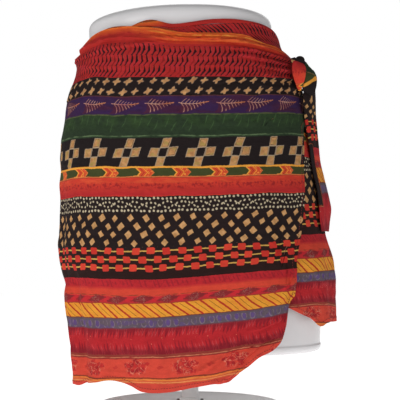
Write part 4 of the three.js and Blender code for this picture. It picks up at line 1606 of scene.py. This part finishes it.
@dataclass(frozen=True)
class Stitching:
    """One line of stitches along a path on the cloth."""

    pitch: float = 3.4
    length: float = 2.3
    radius: float = 0.32
    sides: int = 5

    SECTIONS = ((0.0, 0.45), (0.25, 1.0), (0.75, 1.0), (1.0, 0.45))  # shares of the length and of the radius
    LOOK = 0.5  # how far ahead and back the path's direction is read
    SUNK, BOW = 0.1, 0.5  # how far a stitch stands out at its ends, and how much more at its middle

    def parts(self, path: np.ndarray, out: np.ndarray) -> list[Part]:
        """Make the stitches.

        Args:
            path: Points of the line, in order.
            out: The cloth's outward normal at each of them.

        Returns:
            Points and faces of each stitch.
        """
        length = np.concatenate([[0.0], np.cumsum(np.linalg.norm(np.diff(path, axis=0), axis=1))])
        made = []
        turns = np.linspace(0, 2 * np.pi, self.sides, endpoint=False)

        def read(values: np.ndarray, at: float) -> np.ndarray:
            """Value at a length along the path."""
            return np.array([np.interp(at, length, values[:, k]) for k in range(3)])

        for number in range(int(length[-1] / self.pitch)):
            begin = number * self.pitch
            rings = []
            for share, wide in self.SECTIONS:
                at = begin + share * self.length
                normal = read(out, at)
                normal /= np.linalg.norm(normal)
                ahead = read(path, min(at + self.LOOK, length[-1])) - read(path, max(at - self.LOOK, 0.0))
                side = np.cross(normal, ahead / np.linalg.norm(ahead))
                stand = self.radius * (self.SUNK + self.BOW * math.sin(math.pi * share))
                centre, reach = read(path, at) + normal * stand, self.radius * wide
                rings.append([centre + reach * (math.cos(a) * side + math.sin(a) * normal) for a in turns])
            made.append(closed_rings(np.array(rings)))
        return made


# ---------------------------------------------------------------- the wrapped cloth


@dataclass(frozen=True)
class Stretch:
    """One stretch of the wrapped cloth, as a fine wall.

    The cut is the size of the flat cloth that shows in it, in metres, and area is that cloth's area; neither
    is used.
    """

    name: str
    node: str
    rows: int
    columns: int
    start: float
    end: Callable[[np.ndarray], np.ndarray]
    top: Callable[[np.ndarray], np.ndarray]
    cut: tuple[float, float]
    area: float
    free_end: bool = False

    WALL = 0.9
    FACE = 0.7  # from the middle surface to the outer face
    HEM_TURN, HEM_EXTRA, HEM_SOFT = 6.5, 0.5, 0.6  # the turned hem's width, extra thickness and soft edge
    PUCKER, PUCKER_PACE, PUCKER_REACH = 0.12, 1.9, 3.0  # small waves along the stitches
    STITCH_INSET = 1.2  # from the turned hem's upper edge to its stitches
    PLACING_ROUNDS = 6
    FIRST_TOP, FIRST_TALL = 470.0, 350.0  # the first guess of the heights
    SHARP = 60.0

    @cached_property
    def where(self) -> tuple[np.ndarray, np.ndarray]:
        """Wrap angles and heights of the grid; the two depend on each other, so they are closed in on."""
        down = np.linspace(0, 1, self.rows + 1)[:, None]
        share = np.linspace(0, 1, self.columns + 1)[None, :]
        height = self.FIRST_TOP - self.FIRST_TALL * down + 0 * share
        wrap = self.start + 0 * height
        for _ in range(self.PLACING_ROUNDS):
            wrap = self.start + (self.end(height) - self.start) * share
            height = self.top(wrap) + (HEM.at(wrap, "height") - self.top(wrap)) * down
        return wrap, height

    def faces_of(self, cloth: ClothSurface) -> tuple[np.ndarray, np.ndarray, np.ndarray]:
        """Grids of the stretch's outer face, its inner face and its outward normals."""
        middle = cloth.point(*self.where)
        out = grid_normals(middle)
        near = distance_to_end(middle, 0)
        if self.free_end:
            near = np.minimum(near, distance_to_end(middle, 1))
        turn = 1 - ease(near, self.HEM_TURN - self.HEM_SOFT, self.HEM_TURN + self.HEM_SOFT)
        wave = np.sin(cloth.place(*self.where)[..., 0] * self.PUCKER_PACE)
        pucker = self.PUCKER * wave * bell(near - self.HEM_TURN, self.PUCKER_REACH)
        outer = middle + out * (self.FACE + self.HEM_EXTRA * turn + pucker)[..., None]
        return outer, middle + out * (self.FACE - self.WALL), out

    def build(self, cloth: ClothSurface, finishes: Finishes) -> Object:
        """Make the stretch.

        Args:
            cloth: The cloth's surface.
            finishes: The materials.

        Returns:
            The new object.
        """
        outer, inner, _ = self.faces_of(cloth)
        points, faces, numbers = closed_shell(outer, inner)
        place = cloth.place(*self.where).reshape(-1, 2)
        place = np.concatenate([place, place])
        materials = [finishes.cloth, finishes.wrong_side]
        return make_object(self.name, points, faces, materials, place, numbers, self.SHARP)

    def seam_lines(self, cloth: ClothSurface) -> list[tuple[np.ndarray, np.ndarray]]:
        """Paths and normals of the stitch lines along the hem and, if it is there, the free edge."""
        outer, _, out = self.faces_of(cloth)
        lines = [self._line_at(outer, out, distance_to_end(outer, 0), 0)]
        if self.free_end:
            lines.append(self._line_at(outer, out, distance_to_end(outer, 1), 1))
        return lines

    def _line_at(
        self, outer: np.ndarray, out: np.ndarray, near: np.ndarray, axis: int
    ) -> tuple[np.ndarray, np.ndarray]:
        """Points of a grid, and their normals, that lie nearest to the stitch line.

        Args:
            outer: The grid.
            out: Its normals.
            near: How far each point is from the edge.
            axis: The grid's axis that runs towards that edge.

        Returns:
            The points and the normals.
        """
        number = np.abs(near - (self.HEM_TURN - self.STITCH_INSET)).argmin(axis=axis)
        other = np.arange(near.shape[1 - axis])
        pick = (number, other) if axis == 0 else (other, number)
        return outer[pick], out[pick]


def roll_bottom(wrap: np.ndarray) -> np.ndarray:
    """Height of the inner front's upper edge, just below its rolled waist."""
    return WAIST_ROLL.at(wrap, "height") - WAIST_ROLL.at(wrap, "tall") / 2 - 0.5


SEAM_HALF = 0.07  # degrees from a seam to the cloth on either side

STRETCHES = (
    Stretch(
        name="outer_front",
        node="front_panel",
        rows=184,
        columns=196,
        start=LEFT_SEAM + SEAM_HALF,
        end=lambda height: FREE_EDGE.at(height, "wrap"),
        top=lambda wrap: UPPER_EDGE.at(wrap, "height"),
        cut=(0.45, 0.447),
        area=0.17,
        free_end=True,
    ),
    Stretch(
        name="back",
        node="back_panel",
        rows=150,
        columns=180,
        start=RIGHT_SEAM + SEAM_HALF,
        end=lambda height: LEFT_SEAM - SEAM_HALF + 0 * height,
        top=lambda wrap: UPPER_EDGE.at(wrap, "height"),
        cut=(0.48, 0.447),
        area=0.18,
    ),
    Stretch(
        name="inner_front",
        node="under_panel",
        rows=136,
        columns=120,
        start=INNER_END,
        end=lambda height: RIGHT_SEAM - SEAM_HALF + 0 * height,
        top=roll_bottom,
        cut=(0.31, 0.4),
        area=0.1,
    ),
)


@dataclass
class WrappedCloth:
    """The wrap panel: its three stretches, its rolled waist and its stitching."""

    cloth: ClothSurface
    finishes: Finishes
    roll_steps: int = 150
    roll_sides: int = 16
    rests_on: tuple[str, ...] = ("form_body",)

    def waist_fold(self) -> Object:
        """Make the rolled edge of the inner front: an oval swept round the waist, loosely twisted."""
        wrap = np.linspace(WAIST_ROLL.keys[0], WAIST_ROLL.keys[-1], self.roll_steps + 1)[:, None]
        turn = -np.linspace(0, 2 * np.pi, self.roll_sides, endpoint=False)[None, :]
        height = WAIST_ROLL.at(wrap, "height")
        uneven = self.cloth.slack.at(wrap * Crease.PER_DEGREE, turn * 9 + 60)
        loose = 1 + 0.1 * np.sin(turn * 3 + wrap / 7) + 0.06 * uneven
        rise = WAIST_ROLL.at(wrap, "tall") / 2 * np.sin(turn) * loose
        offset = WAIST_ROLL.at(wrap, "thick") / 2 * np.cos(turn) * loose
        rings = section_point(CLOTH_SECTIONS, wrap + 0 * turn, height + rise, offset)
        points, faces = closed_rings(rings)
        place = self.cloth.place(wrap + 0 * turn, height + rise)
        ends = np.stack([place[0].mean(axis=0), place[-1].mean(axis=0)])
        place = np.concatenate([place.reshape(-1, 2), ends])
        return make_object("waist_fold", points, faces, [self.finishes.cloth], place)

    def stitches(self) -> Object:
        """Make the stitch lines along the hem and the free edge."""
        stitching = Stitching()
        lines = [line for stretch in STRETCHES for line in stretch.seam_lines(self.cloth)]
        points, faces = join_parts([part for path, out in lines for part in stitching.parts(path, out)])
        return make_object("hem_stitches", points, faces, [self.finishes.thread])

    def build(self) -> None:
        """Make all pieces and tie them to the frame."""
        for stretch in STRETCHES:
            piece = stretch.build(self.cloth, self.finishes)
            if stretch.node == "under_panel":
                fold = self.waist_fold()
                settle(fold, "printed_cloth", "waist_roll")
            if stretch.free_end:
                stitches = self.stitches()
                settle(stitches, "printed_cloth")
            settle(piece, "printed_cloth", stretch.node)


def settle(piece: Object, slot: str, *nodes: str) -> None:
    """Fix a piece to the part.

    Args:
        piece: The new piece.
        slot: Name of a material slot; not used.
        nodes: The solids that it stands for.
    """
    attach(piece, BODY)
    if nodes:
        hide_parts(*nodes)
    log.info("%s: %d faces", piece.name, len(piece.data.polygons))


# ---------------------------------------------------------------- the tie

TIE_TAIL = Table(
    ("height", "frontX", "frontY", "backX", "backY", "bulge"),
    (
        (411, 144.5, -45, 160, -25, 2.5),
        (402, 142.5, -49.5, 160.5, -22, 3.4),
        (390, 142.5, -51.5, 161, -17, 4),
        (375, 144, -52, 162, -9, 4.5),
        (349, 148, -51.5, 166, 0, 4),
        (320, 152.5, -49.5, 169, 6, 4),
        (300, 156, -49.5, 174, 8, 4.5),
        (284, 159.5, -50, 178, 8, 5),
        (263, 162, -50.5, 183, 8, 4.5),
        (245, 163.5, -50.5, 182, 8, 3.5),
        (231, 166, -49, 180, 9, 3),
    ),
)


@dataclass(frozen=True)
class PrintPatch:
    """Which part of the print shows on a strap of the knot.

    Each stop is (share of the way along, t at the strap's left edge, t at its right edge).
    """

    s: float
    stops: tuple[tuple[float, float, float], ...]
    narrow: float = 1.0

    def place(self, share: np.ndarray, side: np.ndarray, across: np.ndarray) -> np.ndarray:
        """Places on the flat cloth, with s and t in the last axis.

        Args:
            share: How far along the strap each point is.
            side: How far across it each point is, from -1 to 1.
            across: The same in millimetres.

        Returns:
            Their s and t.
        """
        shares, left, right = np.array(self.stops).T
        left, right = np.interp(share, shares, left), np.interp(share, shares, right)
        t = left + (right - left) * (side + 1) / 2
        return np.stack([self.s + self.narrow * across + 0 * t, t], axis=-1)


@dataclass(frozen=True)
class Strap:
    """One strap of the knot, swept through sections of (x, y, z, width, thick, facing)."""

    name: str
    node: str
    rows: tuple[tuple[float, ...], ...]
    patch: PrintPatch
    flutes: int = 3
    depth: float = 0.1

    STEPS = 54
    SIDES = 40
    POWER = 0.7  # below 1 the sections are squarer than ovals
    NEAR = 0.05  # how far ahead and back the strap's direction is read, in stations
    LIFT = 0.001  # lets a strap that runs straight back face up
    TIP = 0.02  # share of the length at either end where the flutes fade no further
    TWIST = 2.4  # how far the flutes turn along the strap

    def build(self, finishes: Finishes) -> Object:
        """Make the strap, gathered into flutes that run along it.

        Args:
            finishes: The materials.

        Returns:
            The new object.
        """
        stations = Table(
            ("station", "x", "y", "z", "width", "thick", "facing"),
            tuple((float(number), *row) for number, row in enumerate(self.rows)),
        )
        last = len(self.rows) - 1
        at = np.linspace(0, last, self.STEPS + 1)
        centre = self._centres(stations, at)
        run = self._centres(stations, np.minimum(at + self.NEAR, last))
        run = run - self._centres(stations, np.maximum(at - self.NEAR, 0))
        run /= np.linalg.norm(run, axis=1, keepdims=True)
        facing = np.radians(stations.at(at, "facing"))
        face = np.stack([np.sin(facing), -np.cos(facing), np.full_like(facing, self.LIFT)], axis=1)
        face -= run * (face * run).sum(axis=1, keepdims=True)
        face /= np.linalg.norm(face, axis=1, keepdims=True)
        side = np.cross(run, face)
        turn = np.linspace(0, 2 * np.pi, self.SIDES, endpoint=False)[None, :]
        share = (at / last)[:, None]
        sideways = self._squared(np.sin(turn))
        gather = np.sin(np.pi * np.clip(share, self.TIP, 1 - self.TIP)) ** 0.5
        fluted = 1 + self.depth * gather * np.sin(self.flutes * np.pi * np.sin(turn) + self.TWIST * share)
        out = self._squared(np.cos(turn)) * stations.at(at, "thick")[:, None] / 2 * fluted
        across = sideways * stations.at(at, "width")[:, None] / 2
        rings = centre[:, None] + out[..., None] * face[:, None] + across[..., None] * side[:, None]
        points, faces = closed_rings(rings)
        place = self.patch.place(share + 0 * turn, sideways + 0 * share, across)
        ends = np.stack([place[0].mean(axis=0), place[-1].mean(axis=0)])
        place = np.concatenate([place.reshape(-1, 2), ends])
        return make_object(self.name, points, faces, [finishes.tie], place)

    def _squared(self, value: np.ndarray) -> np.ndarray:
        """Push sines and cosines outwards, which makes a section squarer."""
        return np.sign(value) * np.abs(value) ** self.POWER

    @staticmethod
    def _centres(stations: Table, at: np.ndarray) -> np.ndarray:
        """Centres of the sections at the given stations."""
        return np.stack([stations.at(at, axis) for axis in "xyz"], axis=1)


STRAPS = (
    Strap(
        name="knot_heart",
        node="knot_core",
        rows=(
            (137.5, -43, 437, 7, 5, 20), (138.6, -45.5, 433, 9, 7.5, 22),
            (140, -46.5, 427, 9, 8.5, 28), (142, -46.5, 420, 8, 7.5, 32),
            (144, -45, 413, 6, 5, 35),
        ),
        patch=PrintPatch(s=39.7, stops=((0, 152, 152), (1, 144, 144))),
    ),
    Strap(
        name="near_loop",
        node="knot_loop",
        rows=(
            (137, -52.5, 442, 15, 3.2, 12), (136.6, -56.5, 438, 17, 4.6, 10),
            (136.6, -59.5, 431, 17.8, 6.4, 8), (137, -60, 422, 14.5, 6.4, 8),
            (137.3, -57.5, 413.5, 8.5, 5, 12), (137.8, -54.5, 407.5, 4, 2.8, 14),
        ),
        patch=PrintPatch(
            s=31,
            stops=(
                (0, 202, 203),
                (0.3, 198, 200),
                (0.48, 189, 190),
                (0.7, 184, 187),
                (0.84, 172, 176),
                (1, 170, 171),
            ),
        ),
        flutes=2,
        depth=0.12,
    ),
    Strap(
        name="far_loop",
        node="knot_back",
        rows=(
            (148, -49.5, 404.5, 18, 3.2, 35), (150.8, -48.5, 413.5, 22, 4.6, 40),
            (152.4, -45, 425, 23.5, 5.2, 43), (151.4, -41, 433, 21.5, 5.2, 41),
            (150, -36, 438.5, 17, 4.6, 36), (149, -30, 440.5, 11, 3.4, 34),
        ),
        patch=PrintPatch(
            s=26,
            stops=(
                (0, 167, 160),
                (0.12, 170.6, 161),
                (0.3, 176, 165),
                (0.43, 179, 170.6),
                (0.47, 180, 173),
                (0.5, 131, 135),
                (0.75, 122, 118),
                (1, 112, 110),
            ),
            narrow=0.3,
        ),
        flutes=2,
        depth=0.14,
    ),
    Strap(
        name="knot_turn",
        node="knot_wrap",
        rows=(
            (139, -53.5, 443.4, 11, 2.4, 0), (139.2, -49.5, 444.6, 14, 3.6, 0),
            (139.6, -43, 445.2, 14.5, 4, 0), (140.2, -36, 444.6, 13, 3.6, 0),
            (140.8, -30, 443, 10, 2.6, 0),
        ),
        patch=PrintPatch(s=39.7, stops=((0, 164, 168), (1, 164, 168)), narrow=0.5),
        depth=0.16,
    ),
    Strap(
        name="short_end",
        node="knot_stub",
        rows=(
            (132.6, -47, 443, 5, 2.6, 20), (131, -48.5, 445.8, 6.6, 4.2, 15),
            (130, -49.5, 449, 5.6, 3.6, 10),
        ),
        patch=PrintPatch(s=3, stops=((0, 228, 228), (1, 236, 236))),
        flutes=2,
    ),
)


@dataclass
class Tie:
    """The tie: its hanging end and the straps of its knot."""

    finishes: Finishes
    rows: int = 130
    columns: int = 34
    face: float = 1.0  # from the middle surface to the outer face
    wall: float = 1.1
    sharp: float = 60.0
    print_path: Table = Table(
        ("height", "t"),
        (
            *((412, 223.6), (396, 228.5), (371, 266), (336.5, 301.5)),
            *((311, 330), (290.5, 348.5), (277, 361), (230, 391)),
        ),
    )
    # Where the print's s starts, and how far its bands hang down in the middle:
    print_s: float = 4.0
    print_sag: float = 2.5
    flute: float = 0.9
    flute_waves: float = 2.6
    flute_lean: float = 1.5
    uneven: float = 0.6
    # Of the width, where an inner layer shows, and its soft side:
    fold_share: float = 0.17
    fold_side: float = 0.03
    # Between which heights it shows, and its soft ends:
    fold_from: float = 342.0
    fold_to: float = 262.0
    fold_soft: float = 2.0
    # Where its print starts, and how fast it runs down the strip:
    fold_t: float = 224.6
    fold_pace: float = 0.04

    @cached_property
    def slack(self) -> Unevenness:
        """Unevenness of the hanging end."""
        return Unevenness(51, (9.0, 26.0))

    def hanging_end(self) -> Object:
        """Make the long end, a strip with soft flutes that hangs beside the skirt."""
        lowest, highest = TIE_TAIL.keys[0], TIE_TAIL.keys[-1]
        height = np.linspace(highest, lowest, self.rows + 1)[:, None]
        share = np.linspace(0, 1, self.columns + 1)[None, :]
        level = 0 * share
        columns = {name: TIE_TAIL.at(height, name) + level for name in TIE_TAIL.columns[1:]}
        along = np.stack([columns["frontX"], columns["frontY"], height + level], axis=-1)
        far = np.stack([columns["backX"], columns["backY"], height + level], axis=-1)
        across = far - along
        out = np.stack([across[..., 1], -across[..., 0], 0 * across[..., 0]], axis=-1)
        out /= np.linalg.norm(out, axis=2, keepdims=True)
        wide = np.linalg.norm(across, axis=2)
        hang = (highest - height) / (highest - lowest)
        middle = np.sin(np.pi * share)
        flute = self.flute * np.sin(self.flute_waves * np.pi * share + self.flute_lean * hang) * middle
        flute = flute + self.uneven * self.slack.at(share * wide, height + level)
        grid = along + across * share[..., None]
        grid = grid + out * (columns["bulge"] * middle + flute)[..., None]
        normals = grid_normals(grid)
        points, faces, numbers = closed_shell(
            grid + normals * self.face, grid + normals * (self.face - self.wall)
        )
        s = self.print_s + wide * share
        t = self.print_path.at(height, "t") + self.print_sag * middle
        folded = ease(self.fold_share - share, 0.0, self.fold_side)
        folded = folded * ease(self.fold_from - height, 0.0, self.fold_soft)
        folded = folded * ease(height - self.fold_to, 0.0, self.fold_soft)
        inner = self.fold_t + (self.fold_from - height) * self.fold_pace
        t = t + (inner - t) * folded
        place = np.stack([s, t + 0 * s], axis=-1).reshape(-1, 2)
        place = np.concatenate([place, place])
        materials = [self.finishes.tie, self.finishes.wrong_side]
        return make_object("hanging_end", points, faces, materials, place, numbers, self.sharp)

    def build(self) -> None:
        """Make all pieces and tie them to the frame."""
        for strap in STRAPS:
            piece = strap.build(self.finishes)
            settle(piece, "tie_cloth", strap.node)
        tail = self.hanging_end()
        settle(tail, "tie_cloth", "tie_tail")


# ---------------------------------------------------------------- the form and its stand


@dataclass
class HipForm:
    """The limbless hip form: a smooth shell with a moulded lip round its lower edge."""

    finishes: Finishes
    sides: int = 180
    bottom: float = 78.0
    shoulder: float = 490.0  # where the sides start to round over
    dome: float = 26.0  # height of the rounded top above that
    edge: float = 7.0  # radius of the lower edge
    edge_steps: int = 6
    side_from: float = 103.0
    side_rings: int = 74
    lip_out: float = 0.8
    # The lip fades out between these heights:
    lip_from: float = 86.6
    lip_to: float = 89.2
    lip_rings: tuple[float, ...] = (86.2, 87.0, 87.6, 88.2, 88.8, 89.6, 91.4, 95.0)
    dome_power: tuple[float, ...] = (2.4, 3.4, 4.0, 4.0)  # how square it is: left, right, front, back
    dome_steps: int = 30
    dome_turn: float = 86.0  # degrees that the rounded top turns through before it ends flat
    cap_at: tuple[float, ...] = (-4.0, 0.0, 0.0)
    cap_radius: float = 15.0  # heights of cap and screw are from the form's top
    cap_low: float = -1.5
    cap_high: float = 0.7
    cap_edge: float = 0.4
    screw_at: tuple[float, ...] = (7.5, -6.0, 0.0)
    screw_radius: float = 2.6
    screw_low: float = 0.6
    screw_high: float = 2.0
    screw_edge: float = 0.7

    @cached_property
    def wraps(self) -> np.ndarray:
        """Wrap angles of each ring's points."""
        return np.linspace(0, 360, self.sides, endpoint=False)

    def ring(self, height: float, inset: float = 0.0) -> np.ndarray:
        """One ring of the form's side."""
        return section_point(FORM_SECTIONS, self.wraps, np.full(self.sides, height), -inset)

    def dome_ring(self, rise: float) -> np.ndarray:
        """One ring of the rounded top, at a share of its height."""
        reach = []
        for side, power in zip(FORM_SECTIONS.columns[1:], self.dome_power):
            reach.append(FORM_SECTIONS.at(self.shoulder, side) * (1 - rise**power) ** (1 / power))
        level = Table(FORM_SECTIONS.columns, ((0.0, *reach), (1.0, *reach)))
        ring = section_point(level, self.wraps, np.zeros(self.sides))
        ring[:, 2] = self.shoulder + self.dome * rise
        return ring

    def shell(self) -> Object:
        """Make the form."""
        rings = []
        for step in range(self.edge_steps + 1):
            turn = math.pi / 2 * step / self.edge_steps
            height = self.bottom + self.edge * (1 - math.cos(turn))
            rings.append(self.ring(height, self.edge * (1 - math.sin(turn)) - self.lip_out * math.sin(turn)))
        for height in self.lip_rings:
            fade = float(ease(np.array(height), self.lip_from, self.lip_to))
            rings.append(self.ring(height, -self.lip_out * (1 - fade)))
        for height in np.linspace(self.side_from, self.shoulder, self.side_rings):
            rings.append(self.ring(float(height)))
        for step in range(1, self.dome_steps + 1):
            rings.append(self.dome_ring(math.sin(math.radians(self.dome_turn * step / self.dome_steps))))
        points, faces = closed_rings(np.array(rings))
        return make_object("form_shell", points, faces, [self.finishes.form], sharp=40.0)

    def cap(self) -> Object:
        """Make the small cap that closes the fitting in the middle of the form's top, and its screw."""
        top = self.shoulder + self.dome
        plate = rounded_profile(self.cap_radius, top + self.cap_low, top + self.cap_high, self.cap_edge, 3)
        screw = rounded_profile(
            self.screw_radius, top + self.screw_low, top + self.screw_high, self.screw_edge, 3
        )
        rings = turned(plate, 56), turned(screw, 28) + np.array(self.screw_at)
        points, faces = join_parts([closed_rings(ring) for ring in rings])
        return make_object("form_cap", points + np.array(self.cap_at), faces, [self.finishes.metal])

    def build(self) -> None:
        """Make all pieces and tie them to the frame."""
        settle(self.shell(), "form_shell", "form_body")
        settle(self.cap(), "stand_metal")


@dataclass
class Stand:
    """The pole with a collar at either end, and the round base plate."""

    finishes: Finishes
    base_radius: float = 120.0
    base_top: float = 8.0
    base_edge: float = 2.2
    pole_radius: float = 11.0
    pole_edge: float = 0.3
    gap: float = 0.3  # from the pole to the base plate and to the form
    sides: int = 128
    # Half section of a collar: (radius, height above the face that it stands on).
    collar: tuple[tuple[float, float], ...] = (
        *((21.0, 0.0), (21.0, 2.2), (20.2, 3.0), (14.5, 3.2)),
        *((13.6, 4.2), (13.4, 8.2), (12.6, 9.0), (11.0, 9.0)),
    )
    flange: float = 3.0  # height of the flange that the screws stand on
    screw_turns: tuple[float, ...] = (30, 150, 270)
    screw_off: float = 17.6
    screw_radius: float = 2.4
    screw_tall: float = 1.6
    screw_edge: float = 0.8

    def piece(self, name: str, profile: Profile) -> Object:
        """Make one turned piece."""
        points, faces = closed_rings(turned(profile, self.sides))
        return make_object(name, points, faces, [self.finishes.stand], sharp=30.0)

    def screws(self, height: float) -> Object:
        """Make the three domed screws round the pole, which stand on the lower collar's flange."""
        screw = rounded_profile(self.screw_radius, height, height + self.screw_tall, self.screw_edge, 3)
        rings, parts = turned(screw, 24), []
        for turn in self.screw_turns:
            out = np.array([math.cos(math.radians(turn)), math.sin(math.radians(turn)), 0.0])
            parts.append(closed_rings(rings + out * self.screw_off))
        points, faces = join_parts(parts)
        return make_object("collar_screws", points, faces, [self.finishes.metal])

    def build(self) -> None:
        """Make all pieces and tie them to the frame."""
        foot, top = self.base_top, HipForm.bottom - self.gap
        base = rounded_profile(self.base_radius, 0.0, foot, self.base_edge, 6)
        settle(self.piece("base_plate", base), "stand_metal", "stand_base")
        pole = rounded_profile(self.pole_radius, foot + self.gap, top, self.pole_edge, 2)
        settle(self.piece("pole", pole), "stand_metal", "stand_pole")
        lower = [(radius, foot + rise) for radius, rise in self.collar]
        settle(self.piece("lower_collar", lower), "stand_metal")
        upper = [(radius, top - rise) for radius, rise in reversed(self.collar)]
        settle(self.piece("upper_collar", upper), "stand_metal")
        settle(self.screws(foot + self.flange), "stand_metal")


# ---------------------------------------------------------------- stage


@dataclass(frozen=True)
class Lamp:
    """One soft area light, aimed at a point; places and sizes are in metres."""

    name: str
    place: tuple[float, float, float]
    aim: tuple[float, float, float]
    size: tuple[float, float]
    power: float

    def build(self) -> Object:
        """Make the light."""
        data = bpy.data.lights.new(self.name, "AREA")
        data.shape = "RECTANGLE"
        data.size, data.size_y = self.size
        data.energy = self.power
        made = bpy.data.objects.new(self.name, data)
        made.location = self.place
        direction = Vector(self.aim) - Vector(self.place)
        made.rotation_euler = direction.to_track_quat("-Z", "Y").to_euler()
        bpy.context.scene.collection.objects.link(made)
        return made


LAMPS = (
    Lamp("key", (-1.7, -2.3, 0.85), (0.0, 0.0, 0.22), (1.4, 1.4), 24.5),
    Lamp("fill", (1.6, -2.2, 0.7), (0.0, 0.0, 0.27), (1.6, 1.6), 3.4),
    Lamp("top", (0.0, -0.2, 2.0), (0.0, 0.0, 0.3), (1.2, 1.2), 1.0),
    Lamp("rim", (0.3, 1.8, 1.3), (0.0, 0.0, 0.3), (1.6, 0.8), 4.0),
)


class Stage:
    """The camera, the white surroundings and the lights."""

    LENS, SENSOR = 103.846, 36.0  # in millimetres
    CAMERA = (0.013, -1.5, 0.22)
    SHIFT = 0.1  # how far the picture is shifted up, as a share of its width
    FLOOR, FLOOR_DROP = 6000.0, 0.6  # width of the floor, and how far it lies under the stand
    AMBIENT = 0.22
    WHITE = (1.0, 1.0, 1.0, 1.0)
    PAPER, PAPER_GLOW = (0.9, 0.9, 0.9, 1.0), 0.82

    def camera(self) -> None:
        """Put the camera level in front of the skirt."""
        data = bpy.data.cameras.new("camera")
        data.lens = self.LENS
        data.sensor_width = self.SENSOR
        data.shift_y = self.SHIFT
        data.clip_start = 0.05
        made = bpy.data.objects.new("camera", data)
        made.location = self.CAMERA
        made.rotation_euler = (math.radians(90), 0, 0)
        bpy.context.scene.collection.objects.link(made)
        bpy.context.scene.camera = made

    def world(self) -> None:
        """White to the camera, and a softer even light on the object."""
        world = bpy.data.worlds.new("white")
        bpy.context.scene.world = world
        world.use_nodes = True
        tree = world.node_tree
        tree.nodes.clear()
        output = tree.nodes.new("ShaderNodeOutputWorld")
        mix = tree.nodes.new("ShaderNodeMixShader")
        path = tree.nodes.new("ShaderNodeLightPath")
        tree.links.new(path.outputs["Is Camera Ray"], mix.inputs["Fac"])
        for socket, strength in ((mix.inputs[1], self.AMBIENT), (mix.inputs[2], 1.0)):
            white = tree.nodes.new("ShaderNodeBackground")
            set_inputs(white, {"Color": self.WHITE, "Strength": strength})
            tree.links.new(white.outputs[0], socket)
        tree.links.new(mix.outputs[0], output.inputs["Surface"])

    def floor(self) -> None:
        """Lay a white floor under the stand."""
        turns = ((-1, -1), (1, -1), (1, 1), (-1, 1))
        corners = np.array([(x * self.FLOOR / 2, y * self.FLOOR / 2, -self.FLOOR_DROP) for x, y in turns])
        material, shader = blank_material("white_paper")
        set_inputs(shader, {"Base Color": self.PAPER, "Roughness": 0.9})
        set_inputs(shader, {"Emission Color": self.WHITE, "Emission Strength": self.PAPER_GLOW})
        make_object("floor", corners, [[0, 1, 2, 3]], [material])

    def light(self) -> None:
        """Set up the lights."""
        for lamp in LAMPS:
            lamp.build()


def main() -> None:
    """Build the whole scene."""
    logging.basicConfig(level=logging.INFO, format="%(message)s")
    bpy.context.scene.view_settings.view_transform = "Standard"
    stage = Stage()
    stage.camera()
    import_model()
    finishes = Finishes()
    WrappedCloth(ClothSurface(), finishes).build()
    Tie(finishes).build()
    HipForm(finishes).build()
    Stand(finishes).build()
    stage.world()
    stage.floor()
    stage.light()


if __name__ == "__main__":
    main()
